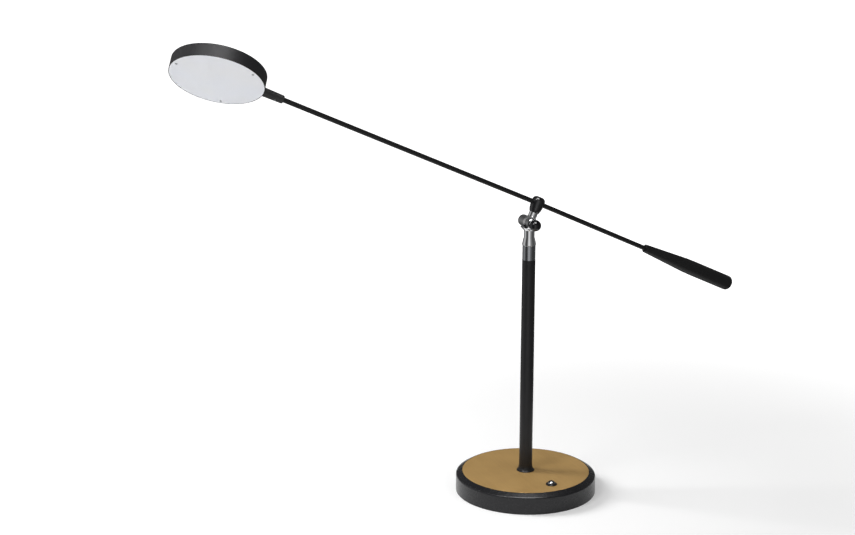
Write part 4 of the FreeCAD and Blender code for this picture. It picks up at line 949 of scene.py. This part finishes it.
def floor_disc(radius, rings, spokes):
    """A flat disc: rings of points at r = radius * (i / rings) ** 2, closed in the middle."""
    steps = (np.arange(1, rings + 1) / rings) ** 2 * radius
    turns = np.arange(spokes) * 2 * pi / spokes
    x = (steps[:, None] * np.cos(turns)).ravel()
    y = (steps[:, None] * np.sin(turns)).ravel()
    points = np.vstack((np.column_stack((x, y, np.zeros(x.size))), [[0.0, 0.0, 0.0]]))
    here = np.arange(spokes)
    there = (here + 1) % spokes
    low = (np.arange(rings - 1) * spokes)[:, None]
    high = low + spokes
    quads = np.stack((low + here, high + here, high + there, low + there), -1)
    middle = np.full(spokes, len(points) - 1)
    return points, quads.reshape(-1, 4).tolist() + np.column_stack((middle, here, there)).tolist()


paper = Finish("paper_of_the_floor")
seen = paper.node("ShaderNodeLightPath", output="Is Camera Ray")
mirrored = paper.node("ShaderNodeLightPath", output="Is Glossy Ray")
below = paper.node("ShaderNodeNewGeometry", output="Backfacing")
fleck = paper.noise(180.0, 3.0)
away = paper.node("ShaderNodeVectorMath", {"operation": "LENGTH"}, {0: paper.place}, "Value")
glowing = FLOOR_GLOW + away.fade(LIT_PAPER, GLOWING_PAPER) * FAR_GLOW
matt = paper.node(
    "ShaderNodeBsdfPrincipled",
    {},
    {
        "Base Color": fleck.tint((0.8, 0.8, 0.8), (0.815, 0.815, 0.815)),
        "Roughness": 0.9,
        "Specular IOR Level": 0.1,
        "Emission Color": (1.0, 1.0, 1.0),
        "Emission Strength": seen * glowing + mirrored * FLOOR_GLOW,
    },
)
clear = paper.node("ShaderNodeBsdfTransparent")
sheet = paper.node("ShaderNodeMixShader", {}, {0: below, 1: matt, 2: clear})
paper.node("ShaderNodeOutputMaterial", {}, {"Surface": sheet})

disc = floor_disc(FLOOR_RADIUS, FLOOR_RINGS, FLOOR_SPOKES)
floor = new_object("floor", *disc, paper.material, smooth=False)
print("floor", len(floor.data.polygons), "faces")

# %% [markdown]
# ## Lamps
#
# The main light is a tall soft panel at the camera's left: it throws the post's shadow to
# the right across the brass. Weaker panels above, before and to the right fill the rest.
# None of them shows in metal, which has a room of its own further down.

# %% Lamps
LAMP_MIDDLE = 0.3
PANEL_AIM = 0.2


def round_the_lamp(turn, rise, distance):
    """A place round the lamp: degrees to the camera's right, degrees up, metres away."""
    facing = atan2(CAMERA_PLACE.y, CAMERA_PLACE.x) + radians(turn)
    level = distance * cos(radians(rise))
    height = LAMP_MIDDLE + distance * sin(radians(rise))
    return (level * cos(facing), level * sin(facing), height)


def soft_panel(name, turn, rise, distance, size, watts):
    """An area light of that size that faces the lamp, and that metal doesn't show."""
    light = bpy.data.lights.new(name, "AREA")
    light.shape = "RECTANGLE"
    light.size, light.size_y = size
    light.energy = watts
    held = bpy.data.objects.new(name, light)
    held.location = round_the_lamp(turn, rise, distance)
    aim = (Vector((0.0, 0.0, PANEL_AIM)) - held.location).normalized()
    held.rotation_euler = aim.to_track_quat("-Z", "Y").to_euler()
    held.visible_glossy = False
    bpy.context.scene.collection.objects.link(held)


soft_panel("left_panel", turn=-96.0, rise=34.0, distance=1.9, size=(0.6, 1.0), watts=30.0)
soft_panel("key_panel", turn=-42.0, rise=50.0, distance=1.9, size=(0.5, 0.5), watts=7.0)
soft_panel("right_panel", turn=48.0, rise=28.0, distance=2.2, size=(0.9, 1.2), watts=4.0)
soft_panel("top_panel", turn=10.0, rise=82.0, distance=2.1, size=(0.6, 0.6), watts=4.0)
soft_panel("low_panel", turn=-12.0, rise=-2.0, distance=2.2, size=(1.4, 0.4), watts=10.0)

# %% [markdown]
# ## Sky
#
# The sky gives what the panels leave: a weak even light on everything. To the camera it is
# white, as the photograph's ground is, and to a mirror it is nearly white low down and grey
# above, as a real studio is.

# %% Sky
DIFFUSE_SKY, LOW_SKY, HIGH_SKY = 0.31, 0.95, 0.3

world = bpy.data.worlds.new("studio")
world.use_nodes = True
world.node_tree.nodes.clear()
sky = Wire(world.node_tree, None)
to_camera = sky.node("ShaderNodeLightPath", output="Is Camera Ray")
to_mirror = sky.node("ShaderNodeLightPath", output="Is Glossy Ray")
to_glass = sky.node("ShaderNodeLightPath", output="Is Transmission Ray")
way = sky.node("ShaderNodeTexCoord", output="Generated")
up = sky.node("ShaderNodeSeparateXYZ", {}, {"Vector": way}, "Z")
shown = LOW_SKY - up.fade(0.25, 0.8) * (LOW_SKY - HIGH_SKY)
strength = (
    DIFFUSE_SKY
    + to_camera * (1.0 - DIFFUSE_SKY)
    + to_mirror * (shown - DIFFUSE_SKY)
    + to_glass * (shown - DIFFUSE_SKY)
)
glow = sky.node("ShaderNodeBackground", {}, {"Color": (1.0, 1.0, 1.0), "Strength": strength})
sky.node("ShaderNodeOutputWorld", {}, {"Surface": glow})
bpy.context.scene.world = world
print("sky", LOW_SKY, "low and", HIGH_SKY, "high in a mirror")

# %% [markdown]
# ## The room in the metal
#
# Polished metal in a white room looks like white paper. Photographers stand white and dark
# cards round the lamp, and the metal shows them as the bands that give it its shape. Here
# the cards are one surface, seen only by reflections: a line that runs out along the floor,
# up the wall and over the top is carried once round the lamp, and its brightness changes
# with the turn. The turns and tones were read off the bands in the collar and the bell.

# %% The room in the metal
CARD_TONES = (
    (-180.0, 0.1),
    (-150.0, 0.08),
    (-132.0, 0.14),
    (-112.0, 0.42),
    (-76.0, 0.62),
    (-62.0, 0.1),
    (-32.0, 0.06),
    (-20.0, 0.3),
    (-8.0, 0.85),
    (10.0, 0.95),
    (20.0, 0.55),
    (34.0, 0.24),
    (50.0, 0.22),
    (62.0, 0.09),
    (100.0, 0.1),
    (122.0, 0.22),
    (150.0, 0.12),
    (180.0, 0.1),
)
CEILING_TONE = 0.07
CEILING_START, CEILING_FADE = 1.7, 0.9
ROOM_PROFILE = (
    (0.36, 0.003),
    (1.2, 0.003),
    (3.2, 0.003),
    (3.2, 1.2),
    (3.1, 2.2),
    (2.0, 3.1),
    (0.0, 3.4),
)


def seen_by_gloss_only(thing):
    """Hides a card from the camera and from every ray but a mirrored one."""
    thing.visible_camera = False
    thing.visible_diffuse = False
    thing.visible_shadow = False
    thing.visible_transmission = False


def glowing_card(name, strength):
    """A black surface that only glows. strength(cloth) says how much, as a number or a wire."""
    cloth = Finish(name)
    return cloth.shade(
        Base_Color=(0.0, 0.0, 0.0),
        Specular_IOR_Level=0.0,
        Emission_Color=(1.0, 1.0, 1.0),
        Emission_Strength=strength(cloth),
    )


def grid_faces(rows, columns):
    """Four corners for each cell of a grid of points kept row by row."""
    start = (np.arange(rows - 1)[:, None] * columns + np.arange(columns - 1)).ravel()
    return np.column_stack((start, start + columns, start + columns + 1, start + 1)).tolist()


def wall_tones(cloth):
    """The tone kept in the mesh, uneven by a tenth as hung cloth is."""
    tone = cloth.node("ShaderNodeAttribute", {"attribute_name": "tone"}, output="Fac")
    return tone * (0.9 + cloth.noise(1.4, 3.0) * 0.2)


def room_of_cards(name, steps, rises):
    """The profile at each turn: x = r cos(turn), y = r sin(turn), z from the profile."""
    corners = np.array(ROOM_PROFILE)
    along = np.concatenate(([0.0], np.cumsum(np.hypot(*np.diff(corners, axis=0).T))))
    places = np.linspace(0.0, along[-1], rises)
    reach = np.interp(places, along, corners[:, 0])
    height = np.interp(places, along, corners[:, 1])
    turns = np.linspace(-180.0, 180.0, steps)
    facing = atan2(CAMERA_PLACE.y, CAMERA_PLACE.x) + np.radians(turns)
    x = np.outer(np.cos(facing), reach).ravel()
    y = np.outer(np.sin(facing), reach).ravel()
    z = np.tile(height, steps)
    tones = np.interp(turns, *np.array(CARD_TONES).T)
    over = np.clip((height - CEILING_START) / CEILING_FADE, 0.0, 1.0)
    tone = np.outer(tones, 1.0 - over) + CEILING_TONE * over
    walls = glowing_card("cards_of_the_room", wall_tones)
    walls.cycles.emission_sampling = "NONE"
    points = np.column_stack((x, y, z))
    made = new_object(name, points, grid_faces(steps, rises), walls, smooth=False)
    made.data.attributes.new("tone", "FLOAT", "POINT").data.foreach_set("value", tone.ravel())
    return made


room = room_of_cards("room_in_the_metal", steps=241, rises=41)
seen_by_gloss_only(room)
print("room", len(room.data.polygons), "faces")

# %% [markdown]
# ## Two bright cards
#
# The thin highlights on the paint, such as the line round the shoulder of the base, come
# from small bright sources. Two square cards make them: one high at the camera's left, close
# to the key panel, and a larger one overhead.

# %% Two bright cards
CARD_AIM = 0.3


def bright_card(name, turn, rise, distance, size, shine):
    """A square card that faces the lamp; its corners are the centre plus half each side."""
    centre = np.array(round_the_lamp(turn, rise, distance))
    inward = np.array((0.0, 0.0, CARD_AIM)) - centre
    inward = inward / np.linalg.norm(inward)
    side = np.cross(inward, (0.0, 0.0, 1.0))
    side = side / np.linalg.norm(side) * size / 2
    lift = np.cross(side, inward)
    corners = np.array([centre + a * side + b * lift for a in (-1, 1) for b in (-1, 1)])
    cloth = glowing_card(name + "_cloth", lambda plain: shine)
    seen_by_gloss_only(new_object(name, corners, grid_faces(2, 2), cloth, smooth=False))
    print(name, size, "metres wide")


bright_card("card_of_the_key", turn=-46.0, rise=46.0, distance=2.4, size=0.75, shine=11.0)
bright_card("card_overhead", turn=5.0, rise=74.0, distance=2.3, size=1.35, shine=11.5)
